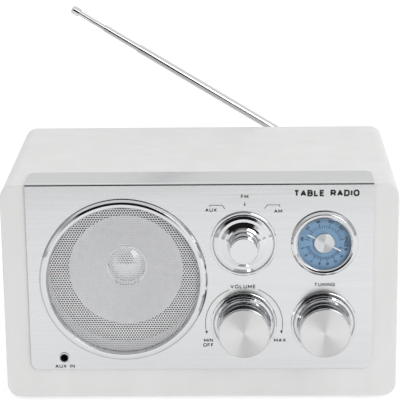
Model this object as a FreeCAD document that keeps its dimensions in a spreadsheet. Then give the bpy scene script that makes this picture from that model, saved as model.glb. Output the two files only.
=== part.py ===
"""Tabletop radio: a wooden box with a bent aluminium front plate, a speaker, three knobs,
a geared tuning dial and a telescopic antenna on the back.

Frame: +Z up, the front faces -Y, and the origin is on the table below the middle of the whole
radio. Lengths are in millimetres and angles in degrees. Most pieces are drawn in a front frame
whose X is the radio's X, whose Y is the radio's Z, and whose Z points out of the front.
"""
import FreeCAD, Part
import math
import os
import re

import Sketcher
from FreeCAD import Placement, Rotation, Vector

SIZES = {
    # cabinet
    "cabinet_width": 210.0,
    "cabinet_height": 119.4,
    "cabinet_depth": 125.0,
    "cabinet_corner": 7.3,
    "cabinet_edge": 0.8,
    "wall": 9.0,
    "foot_height": 2.0,
    "foot_radius": 7.0,
    "foot_edge": 0.5,
    "foot_inset_side": 18.0,
    "foot_inset_front": 16.0,
    "back_inset": 2.0,
    "back_gauge": 4.0,
    "block_side": 11.0,
    "block_length": 22.0,
    "vent_width": 44.0,
    "vent_slot": 2.4,
    "vent_step": 6.0,
    "vent_count": 6,
    "vent_height": 62.0,
    "vent_offset": 34.0,
    # front plate
    "plate_width": 183.0,
    "plate_bottom": 16.5,
    "plate_gauge": 1.0,
    "plate_corner": 4.3,
    "plate_bend": 1.3,
    "flap_depth": 21.8,
    # places on the front, above the cabinet's bottom
    "speaker_across": -40.7,
    "speaker_up": 67.1,
    "driver_shift": 0.3,
    "inner_column": 23.2,
    "outer_column": 65.8,
    "lower_row": 42.3,
    "upper_row": 87.1,
    "jack_across": -73.6,
    "jack_up": 23.3,
    # speaker bezel and grille
    "bezel_outer": 44.8,
    "bezel_inner": 40.2,
    "bezel_proud": 2.8,
    "grille_radius": 41.8,
    "grille_gauge": 0.8,
    "grille_seat": 0.2,
    # speaker driver
    "driver_step": 7.0,
    "driver_step_outer": 43.0,
    "driver_flange": 42.8,
    "driver_ear": 5.0,
    "driver_ear_reach": 46.5,
    "driver_opening": 39.0,
    "driver_depth": 24.0,
    "basket_gauge": 1.2,
    "basket_base": 23.0,
    "basket_window": 12.0,
    "surround_outer": 38.6,
    "cone_outer": 32.2,
    "cone_depth": 8.0,
    "coil_outer": 10.2,
    "dust_cap_radius": 10.9,
    "dust_cap_rise": 3.8,
    "magnet_radius": 25.0,
    "magnet_bore": 12.0,
    "magnet_height": 9.0,
    "pole_radius": 9.0,
    "steel_gauge": 4.0,
    # knobs and rings
    "ring_outer": 17.6,
    "ring_inner": 15.9,
    "ring_proud": 1.0,
    "knob_base": 15.6,
    "knob_waist": 14.1,
    "knob_rim": 13.8,
    "knob_proud": 16.0,
    "knob_gap": 0.3,
    "knob_wall": 1.8,
    "knob_boss": 5.5,
    "knob_cap": 13.2,
    "cap_gauge": 1.0,
    "selector_rim": 13.9,
    "selector_step": 12.3,
    "selector_step_top": 10.5,
    "selector_terrace": 1.7,
    "selector_post": 8.6,
    "selector_face": 7.1,
    "selector_proud": 13.6,
    "shaft_radius": 3.0,
    "shaft_reach": 12.0,
    "shaft_room": 1.0,
    "running_gap": 0.05,
    # dial
    "dial_outer": 17.7,
    "dial_inner": 14.2,
    "dial_proud": 2.6,
    "lens_radius": 15.2,
    "lens_gauge": 0.9,
    "scale_radius": 15.3,
    "scale_gauge": 0.6,
    "housing_radius": 16.8,
    "housing_wall": 1.0,
    "boss_radius": 5.35,
    "boss_gauge": 0.8,
    "needle_length": 19.4,
    "needle_width": 0.55,
    "needle_gauge": 0.3,
    "needle_angle": 27.0,
    "lamp_radius": 1.5,
    "lamp_height": 4.0,
    "lamp_offset": 9.0,
    # tuning gears
    "tooth_module": 0.8,
    "pressure_angle": 20.0,
    "tooth_backlash": 0.12,
    "pinion_teeth": 17,
    "idler_teeth": 22,
    "dial_teeth": 51,
    "gear_face": 3.0,
    "gear_lead": 1.0,
    "spindle_radius": 1.5,
    "gear_hub": 3.2,
    # boards, posts and screws
    "post_length": 9.5,
    "post_radius": 2.8,
    "board_gauge": 1.6,
    "board_left": 5.5,
    "board_right": 42.0,
    "board_low": 16.0,
    "board_high": 108.0,
    "bracket_gauge": 1.2,
    "bracket_post": 19.0,
    "bracket_margin": 3.6,
    "bracket_drop": 8.0,
    "screw_radius": 1.5,
    "screw_length": 9.0,
    "screw_head": 2.8,
    "screw_crown": 1.7,
    "screw_slot": 0.6,
    "pot_radius": 8.0,
    "pot_depth": 8.2,
    "pot_floor": 2.0,
    "switch_side": 17.0,
    "chip_size": 9.0,
    "chip_height": 3.4,
    "tuner_chip_up": 72.0,
    "amplifier_chip_up": 48.0,
    "can_radius": 5.0,
    "can_length": 15.0,
    "can_up": 28.0,
    "can_step": 11.5,
    "tuner_side": 20.0,
    "tuner_depth": 11.0,
    "tuner_bore": 5.0,
    # ferrite rod
    "rod_radius": 4.0,
    "rod_length": 90.0,
    "rod_back": 30.0,
    "rod_drop": 9.5,
    "winding_radius": 5.2,
    "winding_length": 24.0,
    "holder_gauge": 6.0,
    "holder_width": 13.0,
    "holder_span": 37.0,
    # mains side
    "inlet_across": -58.0,
    "inlet_up": 30.0,
    "inlet_width": 24.0,
    "inlet_height": 14.0,
    "inlet_depth": 16.0,
    "inlet_flange": 2.0,
    "inlet_lip": 1.5,
    "socket_width": 15.0,
    "socket_height": 8.4,
    "socket_depth": 12.5,
    "pin_spacing": 8.6,
    "pin_radius": 1.2,
    "pin_length": 9.5,
    "core_width": 42.0,
    "core_height": 35.0,
    "core_depth": 18.0,
    "core_leg": 7.0,
    "core_back": 14.0,
    "coil_gap": 0.4,
    # jack
    "jack_bore": 1.8,
    "jack_nose": 2.3,
    "jack_ring": 2.95,
    "jack_proud": 0.7,
    "jack_bore_length": 14.0,
    "jack_body": 10.0,
    "jack_body_depth": 8.0,
    # antenna
    "antenna_across": 66.0,
    "antenna_up": 100.2,
    "antenna_back": 75.0,
    "antenna_lean": 31.75,
    "bush_radius": 6.5,
    "bush_shank": 4.5,
    "bush_proud": 2.6,
    "bush_nut": 2.5,
    "swivel_post": 2.5,
    "swivel_collar": 5.0,
    "collar_gauge": 3.0,
    "swivel_gap": 0.3,
    "fork_radius": 4.5,
    "fork_slot": 3.2,
    "fork_width": 7.4,
    "hinge_radius": 1.2,
    "tongue_gauge": 2.6,
    "tongue_radius": 4.0,
    "tube_start": 5.3,
    "tube_outer": 2.5,
    "tube_bore": 2.12,
    "tube_end": 122.0,
    "middle_outer": 2.05,
    "middle_bore": 1.67,
    "middle_start": 36.0,
    "middle_end": 145.3,
    "rod_outer": 1.6,
    "rod_start": 58.0,
    "rod_end": 162.0,
    "tip_radius": 2.5,
    "tip_length": 5.3,
}

DOC = FreeCAD.newDocument("TabletopRadio")
FRONT = Rotation(Vector(1, 0, 0), 90)
UPRIGHT = Rotation()

# Depths behind the front, as formulas of the sheet along the radio's Y axis
CABINET_FRONT = "-cabinet_depth / 2"
PLATE_FRONT = "-cabinet_depth / 2 - plate_gauge"
BAFFLE_BACK = "-cabinet_depth / 2 + wall"
BOARD_FRONT = "-cabinet_depth / 2 + wall + post_length"
PANEL_BACK = "cabinet_depth / 2 - back_inset"
LOWER = "foot_height + lower_row"
UPPER = "foot_height + upper_row"


def make_sheet():
    """The spreadsheet that every sub-part reads."""
    sheet = DOC.addObject("Spreadsheet::Sheet", "Sizes")
    for row, (alias, size) in enumerate(SIZES.items(), start=1):
        sheet.set(f"A{row}", alias)
        sheet.set(f"B{row}", str(size))
        sheet.setAlias(f"B{row}", alias)
    DOC.recompute()
    return sheet


SHEET = make_sheet()


def formula(text):
    """An expression of the document from one written with bare aliases."""
    return re.sub(r"[a-z_]+", lambda word: f"Sizes.{word[0]}" if word[0] in SIZES else word[0], text)


def number(text):
    """The present value of a formula."""
    result = SHEET.evalExpression(formula(text))
    return float(getattr(result, "Value", result))


def bind(thing, **properties):
    """Binds properties of an object to formulas."""
    for name, text in properties.items():
        thing.setExpression(name, formula(text))
    return thing


def place(thing, across="0", back="0", up="0", turn=FRONT):
    """Puts an object at a place given by formulas, turned by a fixed rotation."""
    base = Vector(number(across), number(back), number(up))
    thing.Placement = Placement(base, turn)
    bind(thing, **{"Placement.Base.x": across, "Placement.Base.y": back, "Placement.Base.z": up})
    return thing


# Sketches

def sketch_on(body, role):
    """A new sketch on one of the body's own origin planes."""
    sketch = body.newObject("Sketcher::SketchObject", body.Name + "_sketch")
    plane = next(item for item in body.Origin.OriginFeatures if item.Role == role)
    sketch.AttachmentSupport = (plane, [""])
    sketch.MapMode = "FlatFace"
    return sketch


def hold(sketch, kind, *where, text):
    """A dimension of the sketch that follows a formula."""
    index = sketch.addConstraint(Sketcher.Constraint(kind, *where, number(text)))
    sketch.setExpression(f"Constraints[{index}]", formula(text))


def polygon(sketch, corners):
    """A closed outline through corners given as pairs of formulas."""
    spots = [Vector(number(x), number(y), 0) for x, y in corners]
    first = sketch.GeometryCount
    count = len(spots)
    for index, spot in enumerate(spots):
        sketch.addGeometry(Part.LineSegment(spot, spots[(index + 1) % count]), False)
    for index in range(count):
        following = first + (index + 1) % count
        sketch.addConstraint(Sketcher.Constraint("Coincident", first + index, 2, following, 1))
    for index, (x, y) in enumerate(corners):
        hold(sketch, "DistanceX", -1, 1, first + index, 1, text=x)
        hold(sketch, "DistanceY", -1, 1, first + index, 1, text=y)


def rectangle(sketch, x, y, width, height):
    """A rectangle about a middle point."""
    left, right = f"{x} - ({width}) / 2", f"{x} + ({width}) / 2"
    low, high = f"{y} - ({height}) / 2", f"{y} + ({height}) / 2"
    polygon(sketch, [(left, low), (right, low), (right, high), (left, high)])


def circle(sketch, x, y, radius):
    """A circle about a middle point."""
    index = sketch.GeometryCount
    centre = Vector(number(x), number(y), 0)
    sketch.addGeometry(Part.Circle(centre, Vector(0, 0, 1), number(radius)), False)
    hold(sketch, "DistanceX", -1, 1, index, 3, text=x)
    hold(sketch, "DistanceY", -1, 1, index, 3, text=y)
    hold(sketch, "Radius", index, text=radius)


# Ways of making a piece

def new_body(label):
    body = DOC.addObject("PartDesign::Body", label)
    body.Label = label
    return body


def turned(label, outline, **where):
    """A lathe piece: pairs of radius and height about the front frame's Z axis."""
    body = new_body(label)
    sketch = sketch_on(body, "XZ_Plane")
    polygon(sketch, outline)
    turn = body.newObject("PartDesign::Revolution", label + "_turn")
    turn.Profile = sketch
    turn.ReferenceAxis = (sketch, ["V_Axis"])
    turn.Angle = 360
    return place(body, **where)


def padded(label, draw, length, **where):
    """A plate: a drawn outline with its holes, padded by a length along Z."""
    body = new_body(label)
    sketch = sketch_on(body, "XY_Plane")
    draw(sketch)
    pad = body.newObject("PartDesign::Pad", label + "_pad")
    pad.Profile = sketch
    bind(pad, Length=length)
    return place(body, **where)


def raised(body, draw, length):
    """Adds a drawn outline below the face at local Z = 0."""
    sketch = sketch_on(body, "XY_Plane")
    draw(sketch)
    pad = body.newObject("PartDesign::Pad", body.Name + "_raised")
    pad.Profile = sketch
    pad.Reversed = True
    bind(pad, Length=length)


def pocket(body, draw, depth=None):
    """Cuts a drawn outline from the face at local Z = 0 upwards, right through or to a depth."""
    DOC.recompute()
    before = body.Shape.Volume
    sketch = sketch_on(body, "XY_Plane")
    draw(sketch)
    cut = body.newObject("PartDesign::Pocket", body.Name + "_pocket")
    cut.Profile = sketch
    cut.Reversed = True
    if depth is None:
        cut.Type = "ThroughAll"
    else:
        bind(cut, Length=depth)
    DOC.recompute()
    if body.Shape.Volume >= before:
        raise ValueError(f"{body.Label}: a pocket removed nothing")


def round_edges(body, radius, chosen):
    """Fillets the edges of the body that pass a test."""
    DOC.recompute()
    base = body.Tip
    names = [f"Edge{index}" for index, edge in enumerate(base.Shape.Edges, start=1) if chosen(edge)]
    fillet = body.newObject("PartDesign::Fillet", body.Name + "_fillet")
    fillet.Base = (base, names)
    bind(fillet, Radius=radius)
    DOC.recompute()


def along(edge, axis):
    """True for a straight edge along a unit vector."""
    if edge.Curve.TypeId != "Part::GeomLine":
        return False
    return abs(edge.tangentAt(edge.FirstParameter).dot(axis)) > 0.999


def cylinder(name, radius, height, **where):
    return place(bind(DOC.addObject("Part::Cylinder", name), Radius=radius, Height=height), **where)


def box(name, width, depth, height, across, back, up):
    """A box about a middle point, in the radio's own axes."""
    block = bind(DOC.addObject("Part::Box", name), Length=width, Width=depth, Height=height)
    corner = {
        "across": f"{across} - ({width}) / 2",
        "back": f"{back} - ({depth}) / 2",
        "up": f"{up} - ({height}) / 2",
    }
    return place(block, turn=UPRIGHT, **corner)


def cut(label, base, *tools):
    """A piece with other shapes taken out of it."""
    if len(tools) > 1:
        tool = fuse(label + "_tools", *tools)
    else:
        tool = tools[0]
    result = DOC.addObject("Part::Cut", label)
    result.Base = base
    result.Tool = tool
    return result


def fuse(label, *members):
    result = DOC.addObject("Part::MultiFuse", label)
    result.Shapes = list(members)
    return result


def group(label, members):
    """Several equal solids in one node."""
    result = DOC.addObject("Part::Compound", label)
    result.Links = list(members)
    return result


def fixed_shape(label, shape):
    """A piece whose shape comes from Part's own functions."""
    feature = DOC.addObject("Part::Feature", label)
    feature.Shape = shape
    return feature


# Cabinet

def cabinet_sleeve():
    """The four walls, with rounded long edges and softly broken rims."""
    def outline(sketch):
        rectangle(sketch, "0", "0", "cabinet_width", "cabinet_height")
        rectangle(sketch, "0", "0", "cabinet_width - 2 * wall", "cabinet_height - 2 * wall")

    sleeve = padded("cabinet_sleeve", outline, "cabinet_depth",
                    back="cabinet_depth / 2", up="foot_height + cabinet_height / 2")
    inner = number("cabinet_width / 2 - wall")
    lid = number("cabinet_height / 2 - wall")

    def outside(edge):
        middle = edge.CenterOfMass
        return abs(middle.x) > inner + 1 or abs(middle.y) > lid + 1

    round_edges(sleeve, "cabinet_corner", lambda edge: outside(edge) and along(edge, Vector(0, 0, 1)))
    round_edges(sleeve, "cabinet_edge", lambda edge: outside(edge) and flat_across(edge))
    return sleeve


def flat_across(edge):
    """True for an edge that stays at one height along local Z."""
    return edge.BoundBox.ZLength < 0.01


def front_baffle():
    """The board behind the front plate, with a raised seat for the speaker round its opening."""
    def outline(sketch):
        rectangle(sketch, "0", "cabinet_height / 2", "cabinet_width - 2 * wall", "cabinet_height - 2 * wall")
        circle(sketch, "speaker_across", "speaker_up", "bezel_inner + 0.8")
        circle(sketch, "outer_column", "upper_row", "housing_radius + 0.2")
        circle(sketch, "inner_column", "upper_row", "shaft_radius + shaft_room")
        circle(sketch, "inner_column", "lower_row", "shaft_radius + shaft_room")
        circle(sketch, "outer_column", "lower_row", "shaft_radius + shaft_room")
        circle(sketch, "jack_across", "jack_up", "jack_nose + 0.2")
        for across, up in driver_screw_places():
            circle(sketch, across, up, "screw_radius")

    def seat_ring(sketch):
        circle(sketch, "speaker_across", "speaker_up", "driver_step_outer")
        circle(sketch, "speaker_across", "speaker_up", "bezel_inner + 0.8")

    def seat_bosses(sketch):
        for across, up in driver_screw_places():
            circle(sketch, across, up, "driver_ear")
            circle(sketch, across, up, "screw_radius")

    baffle = padded("front_baffle", outline, "wall", back=BAFFLE_BACK, up="foot_height")
    raised(baffle, seat_ring, "driver_step")
    raised(baffle, seat_bosses, "driver_step")
    return baffle


def front_plate():
    """Aluminium sheet over the front, bent back over the top edge into a short flap."""
    top = "cabinet_height + plate_gauge"
    body = new_body("front_plate")
    sketch = sketch_on(body, "YZ_Plane")
    polygon(sketch, [
        ("plate_bottom", "0"),
        ("plate_bottom", "plate_gauge"),
        (top, "plate_gauge"),
        (top, "-flap_depth"),
        ("cabinet_height", "-flap_depth"),
        ("cabinet_height", "0"),
    ])
    pad = body.newObject("PartDesign::Pad", "front_plate_pad")
    pad.Profile = sketch
    pad.Midplane = True
    bind(pad, Length="plate_width")
    place(body, back=CABINET_FRONT, up="foot_height")
    height = number(top)

    def bend(edge):
        middle = edge.CenterOfMass
        at_front = abs(middle.z - number("plate_gauge")) < 0.01
        return along(edge, Vector(1, 0, 0)) and at_front and abs(middle.y - height) < 0.01

    def lower_corner(edge):
        return along(edge, Vector(0, 0, 1)) and abs(edge.CenterOfMass.y - number("plate_bottom")) < 0.01

    def flap_corner(edge):
        at_back = abs(edge.CenterOfMass.z + number("flap_depth")) < 0.01
        return along(edge, Vector(0, 1, 0)) and at_back

    round_edges(body, "plate_bend", bend)
    round_edges(body, "plate_corner", lambda edge: lower_corner(edge) or flap_corner(edge))

    def holes(drawing):
        circle(drawing, "speaker_across", "speaker_up", "grille_radius + 0.2")
        circle(drawing, "outer_column", "upper_row", "scale_radius + 0.3")
        circle(drawing, "inner_column", "upper_row", "shaft_radius + shaft_room")
        circle(drawing, "inner_column", "lower_row", "shaft_radius + shaft_room")
        circle(drawing, "outer_column", "lower_row", "shaft_radius + shaft_room")
        circle(drawing, "jack_across", "jack_up", "jack_nose + 0.1")

    pocket(body, holes)
    return body


def back_panel():
    """The recessed back with vent slots, the inlet's cut-out and the antenna's hole."""
    def outline(sketch):
        middle = "cabinet_height / 2"
        rectangle(sketch, "0", middle, "cabinet_width - 2 * wall - 0.6", "cabinet_height - 2 * wall - 0.6")
        rectangle(sketch, "inlet_across", "inlet_up", "inlet_width + 0.3", "inlet_height + 0.3")
        circle(sketch, "antenna_across", "antenna_up", "bush_shank + 0.1")
        for side in ("-vent_offset", "vent_offset"):
            for index in range(SIZES["vent_count"]):
                level = f"vent_height + {index} * vent_step - (vent_count - 1) * vent_step / 2"
                rectangle(sketch, side, level, "vent_width", "vent_slot")
        for across, up in panel_screw_places():
            circle(sketch, across, up, "screw_radius + 0.1")

    return padded("back_panel", outline, "back_gauge", back=PANEL_BACK, up="foot_height")


def panel_screw_places():
    """One screw into each corner block."""
    across = "cabinet_width / 2 - wall - block_side / 2"
    up = "wall + block_side / 2"
    return [(f"{side}({across})", level) for side in ("", "-") for level in (up, f"cabinet_height - ({up})")]


def corner_blocks():
    """Glued wooden blocks in the four back corners that take the panel's screws."""
    front_end = f"{PANEL_BACK} - back_gauge"
    blocks = []
    for index, (across, up) in enumerate(panel_screw_places()):
        block = box(f"corner_block_{index}", "block_side", "block_length", "block_side",
                    across, f"{front_end} - block_length / 2", f"foot_height + {up}")
        hole = cylinder(f"block_hole_{index}", "screw_radius", "screw_length",
                        across=across, back=front_end, up=f"foot_height + {up}")
        blocks.append(cut(f"drilled_block_{index}", block, hole))
    return group("corner_blocks", blocks)


def rubber_feet():
    """Four low rubber discs with softened lower edges."""
    feet = []
    for side in ("-", ""):
        for end in ("-", ""):
            feet.append(turned(f"foot_{len(feet)}", [
                ("0", "0"),
                ("foot_radius - foot_edge", "0"),
                ("foot_radius", "foot_edge"),
                ("foot_radius", "foot_height"),
                ("0", "foot_height"),
            ], across=f"{side}(cabinet_width / 2 - foot_inset_side)",
               back=f"{end}(cabinet_depth / 2 - foot_inset_front)", turn=UPRIGHT))
    return group("rubber_feet", feet)


# Speaker

def speaker_bezel():
    """Chrome ring with a steep inner lip, a nearly flat band and a bevel that falls to the plate."""
    return turned("speaker_bezel", [
        ("bezel_inner", "-grille_seat"),
        ("bezel_inner", "0.9"),
        ("bezel_inner + 0.8", "bezel_proud - 0.3"),
        ("bezel_outer - 2.2", "bezel_proud"),
        ("bezel_outer - 1.1", "bezel_proud - 0.4"),
        ("bezel_outer - 0.3", "bezel_proud - 1.2"),
        ("bezel_outer", "bezel_proud - 1.8"),
        ("bezel_outer", "0"),
        ("grille_radius", "0"),
        ("grille_radius", "-grille_seat"),
    ], across="speaker_across", back=PLATE_FRONT, up="foot_height + speaker_up")


def speaker_grille():
    """The perforated sheet, kept here as its plain disc."""
    return turned("speaker_grille", [
        ("0", "-grille_seat - grille_gauge"),
        ("grille_radius", "-grille_seat - grille_gauge"),
        ("grille_radius", "-grille_seat"),
        ("0", "-grille_seat"),
    ], across="speaker_across", back=PLATE_FRONT, up="foot_height + speaker_up")


DRIVER = {
    "across": "speaker_across + driver_shift",
    "back": f"{BAFFLE_BACK} + driver_step",
    "up": "foot_height + speaker_up",
}


def speaker_frame():
    """Pressed steel basket: flange with four screw ears, cone with six windows, and base."""
    body = turned("speaker_frame", [
        ("coil_outer + 2", "-driver_depth"),
        ("basket_base", "-driver_depth"),
        ("driver_opening + basket_gauge", "-basket_gauge"),
        ("driver_flange", "-basket_gauge"),
        ("driver_flange", "0"),
        ("driver_opening", "0"),
        ("driver_opening", "-basket_gauge"),
        ("basket_base - basket_gauge", "-driver_depth + basket_gauge"),
        ("coil_outer + 2", "-driver_depth + basket_gauge"),
    ], **DRIVER)
    DOC.recompute()
    before = body.Shape.Volume
    sketch = sketch_on(body, "XY_Plane")
    near, far, half = "basket_base + 2.5", "driver_opening - 2", "basket_window / 2"
    polygon(sketch, [(near, f"-{half}"), (far, f"-{half}"), (far, half), (near, half)])
    window = body.newObject("PartDesign::Pocket", "speaker_frame_window")
    window.Profile = sketch
    window.Type = "ThroughAll"
    window.Reversed = False
    ring = body.newObject("PartDesign::PolarPattern", "speaker_frame_windows")
    ring.Originals = [window]
    ring.Axis = (sketch, ["N_Axis"])
    ring.Angle = 360
    ring.Occurrences = 6
    body.Tip = ring
    DOC.recompute()
    if body.Shape.Volume >= before:
        raise ValueError("the basket's windows removed nothing")

    def ears(drawing):
        for x, y in driver_ears():
            circle(drawing, x, y, "driver_ear")
            circle(drawing, x, y, "screw_radius + 0.1")

    raised(body, ears, "basket_gauge")
    return body


def speaker_surround():
    """The soft half roll between the cone and the frame."""
    middle = "(surround_outer + cone_outer) / 2"
    return turned("speaker_surround", [
        ("cone_outer - 1.2", "-0.2"),
        ("cone_outer", "-0.2"),
        (f"{middle} - 1.6", "2"),
        (f"{middle} + 1.6", "2"),
        ("surround_outer", "-0.2"),
        ("surround_outer", "-1"),
        (f"{middle} + 1.4", "1.2"),
        (f"{middle} - 1.4", "1.2"),
        ("cone_outer - 0.4", "-1"),
        ("cone_outer - 1.2", "-1"),
    ], **DRIVER)


def speaker_cone():
    """The silver cone."""
    return turned("speaker_cone", [
        ("coil_outer", "-cone_depth - 1"),
        ("cone_outer - 1.2", "-0.8"),
        ("cone_outer - 1.2", "-0.2"),
        ("coil_outer", "-cone_depth"),
    ], **DRIVER)


def dust_cap():
    """The domed cap over the voice coil."""
    return turned("dust_cap", [
        ("0", "-cone_depth + dust_cap_rise - 0.5"),
        ("0.5 * dust_cap_radius", "-cone_depth + 0.75 * dust_cap_rise - 0.5"),
        ("dust_cap_radius - 0.6", "-cone_depth + 0.3"),
        ("dust_cap_radius + 0.4", "-cone_depth + 0.9"),
        ("0.85 * dust_cap_radius", "-cone_depth + 0.45 * dust_cap_rise"),
        ("0.5 * dust_cap_radius", "-cone_depth + 0.82 * dust_cap_rise"),
        ("0", "-cone_depth + dust_cap_rise"),
    ], **DRIVER)


def voice_coil():
    """The coil's former, which runs in the gap round the pole."""
    low = "-driver_depth - steel_gauge"
    return turned("voice_coil", [
        ("coil_outer - 0.6", low),
        ("coil_outer", low),
        ("coil_outer", "-cone_depth"),
        ("coil_outer - 0.6", "-cone_depth"),
    ], **DRIVER)


def speaker_motor():
    """Top plate, magnet and pole plate, stacked behind the basket."""
    top, middle = "-driver_depth", "-driver_depth - steel_gauge"
    back = f"{middle} - magnet_height"
    end = f"{back} - steel_gauge"
    plate = turned("speaker_top_plate", [
        ("coil_outer + 0.5", middle),
        ("basket_base", middle),
        ("basket_base", top),
        ("coil_outer + 0.5", top),
    ], **DRIVER)
    magnet = turned("speaker_magnet", [
        ("magnet_bore", back), ("magnet_radius", back), ("magnet_radius", middle), ("magnet_bore", middle),
    ], **DRIVER)
    pole = turned("speaker_pole", [
        ("0", end), ("basket_base", end), ("basket_base", back),
        ("pole_radius", back), ("pole_radius", top), ("0", top),
    ], **DRIVER)
    return [plate, magnet, pole]


def driver_ears():
    """The middles of the four screw ears, from the driver's axis."""
    reach = "driver_ear_reach * sqrt(0.5)"
    return [(f"{x}{reach}", f"{z}{reach}") for x in ("", "-") for z in ("", "-")]


def driver_screw_places():
    """The same four places on the baffle."""
    return [(f"speaker_across + driver_shift + ({x})", f"speaker_up + ({z})") for x, z in driver_ears()]


# Front fittings

def knob_rings():
    """Three equal chrome trim rings on the plate."""
    rings = []
    for across, up in (("inner_column", LOWER), ("inner_column", UPPER), ("outer_column", LOWER)):
        rings.append(turned(f"ring_{len(rings)}", [
            ("ring_inner", "0"),
            ("ring_outer", "0"),
            ("ring_outer", "0.55 * ring_proud"),
            ("ring_outer - 0.35", "ring_proud"),
            ("ring_inner + 0.6", "ring_proud"),
            ("ring_inner", "0.5 * ring_proud"),
        ], across=across, back=PLATE_FRONT, up=up))
    return group("knob_rings", rings)


def round_knob(label, across):
    """A chrome knob: wide foot, cove, slightly tapered side, hollow back with a boss for the shaft."""
    inside = "knob_rim - knob_wall"
    return turned(label, [
        ("shaft_radius", "knob_gap + 0.6"),
        ("knob_boss", "knob_gap + 0.6"),
        ("knob_boss", "shaft_reach + 0.6"),
        (inside, "shaft_reach + 0.6"),
        (inside, "knob_gap"),
        ("knob_base", "knob_gap"),
        ("knob_base", "knob_gap + 0.9"),
        ("(knob_base + 2 * knob_waist) / 3", "2.2"),
        ("knob_waist", "4.2"),
        ("knob_rim", "knob_proud - 1.1"),
        ("knob_rim - 0.2", "knob_proud - 0.4"),
        ("knob_cap + 0.05", "knob_proud - 0.1"),
        ("knob_cap + 0.05", "knob_proud - cap_gauge"),
        ("0", "knob_proud - cap_gauge"),
        ("0", "shaft_reach"),
        ("shaft_radius", "shaft_reach"),
    ], across=across, back=PLATE_FRONT, up=LOWER)


def knob_cap(label, across):
    """The spun aluminium disc let into the knob's front."""
    return turned(label, [
        ("0", "knob_proud - cap_gauge"),
        ("knob_cap", "knob_proud - cap_gauge"),
        ("knob_cap", "knob_proud - 0.15"),
        ("knob_cap - 0.3", "knob_proud"),
        ("0", "knob_proud"),
    ], across=across, back=PLATE_FRONT, up=LOWER)


def selector_knob():
    """A stepped chrome knob: two sloping steps with terraces between, and a tapered post."""
    return turned("selector_knob", [
        ("shaft_radius", "knob_gap"),
        ("knob_base", "knob_gap"),
        ("knob_base", "selector_terrace - 0.6"),
        ("selector_rim", "selector_terrace"),
        ("selector_step", "selector_terrace + 0.1"),
        ("selector_step_top", "selector_terrace + 0.8"),
        ("selector_post + 0.7", "selector_terrace + 0.9"),
        ("selector_post", "selector_terrace + 1.5"),
        ("selector_face + 0.3", "selector_proud - 0.5"),
        ("selector_face", "selector_proud"),
        ("0", "selector_proud"),
        ("0", "shaft_reach - 2"),
        ("shaft_radius", "shaft_reach - 2"),
    ], across="inner_column", back=PLATE_FRONT, up=UPPER)


def shaft(label, across, up, reach, depth):
    """A control shaft from inside its knob to a depth behind the baffle's back."""
    length = f"({reach}) + plate_gauge + wall + ({depth})"
    return cylinder(label, "shaft_radius", length, across=across, back=f"{BAFFLE_BACK} + {depth}", up=up)


# Dial, in the front frame about the dial's middle; heights count from the plate's front

DIAL = {"across": "outer_column", "back": PLATE_FRONT, "up": UPPER}


def dial_bezel():
    """Rounded chrome ring that holds the lens."""
    return turned("dial_bezel", [
        ("lens_radius + 0.1", "0"),
        ("dial_outer", "0"),
        ("dial_outer", "0.8"),
        ("dial_outer - 0.4", "1.8"),
        ("dial_outer - 1.3", "dial_proud - 0.1"),
        ("dial_outer - 2", "dial_proud"),
        ("dial_inner + 0.6", "dial_proud - 0.3"),
        ("dial_inner", "dial_proud - 1"),
        ("dial_inner", "1.4"),
        ("lens_radius + 0.1", "1.4"),
    ], **DIAL)


def dial_lens():
    """Clear disc under the bezel's lip."""
    return turned("dial_lens", [
        ("0", "1.4 - lens_gauge"),
        ("lens_radius", "1.4 - lens_gauge"),
        ("lens_radius", "1.4"),
        ("0", "1.4"),
    ], **DIAL)


def dial_scale():
    """The printed translucent disc behind the pointer."""
    top = "-plate_gauge - 0.3"
    return turned("dial_scale", [
        ("spindle_radius + 0.5", f"{top} - scale_gauge"),
        ("scale_radius", f"{top} - scale_gauge"),
        ("scale_radius", top),
        ("spindle_radius + 0.5", top),
    ], **DIAL)


def dial_housing():
    """A white cup in the baffle that carries the scale and spreads the lamp's light."""
    floor = "-plate_gauge - wall + 0.1"
    ledge = "-plate_gauge - 0.3 - scale_gauge"
    return turned("dial_housing", [
        ("spindle_radius + 0.5", floor),
        ("housing_radius", floor),
        ("housing_radius", "-plate_gauge"),
        ("scale_radius + 0.1", "-plate_gauge"),
        ("scale_radius + 0.1", ledge),
        ("housing_radius - 3", ledge),
        ("housing_radius - 3", f"{floor} + housing_wall"),
        ("spindle_radius + 0.5", f"{floor} + housing_wall"),
    ], **DIAL)


def dial_lamp():
    """A small lamp standing on the housing's floor."""
    base = "-cabinet_depth / 2 + wall - 0.1 - housing_wall"
    return cylinder("dial_lamp", "lamp_radius", "lamp_height", across="outer_column + lamp_offset",
                    back=base, up=UPPER)


def dial_boss():
    """Spun aluminium cap over the pointer's middle."""
    return turned("dial_boss", [
        ("spindle_radius", "-boss_gauge + 0.2"),
        ("boss_radius", "-boss_gauge + 0.2"),
        ("boss_radius", "0.05"),
        ("boss_radius - 0.15", "0.2"),
        ("0", "0.2"),
        ("0", "-0.2"),
        ("spindle_radius", "-0.2"),
    ], **DIAL)


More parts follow.
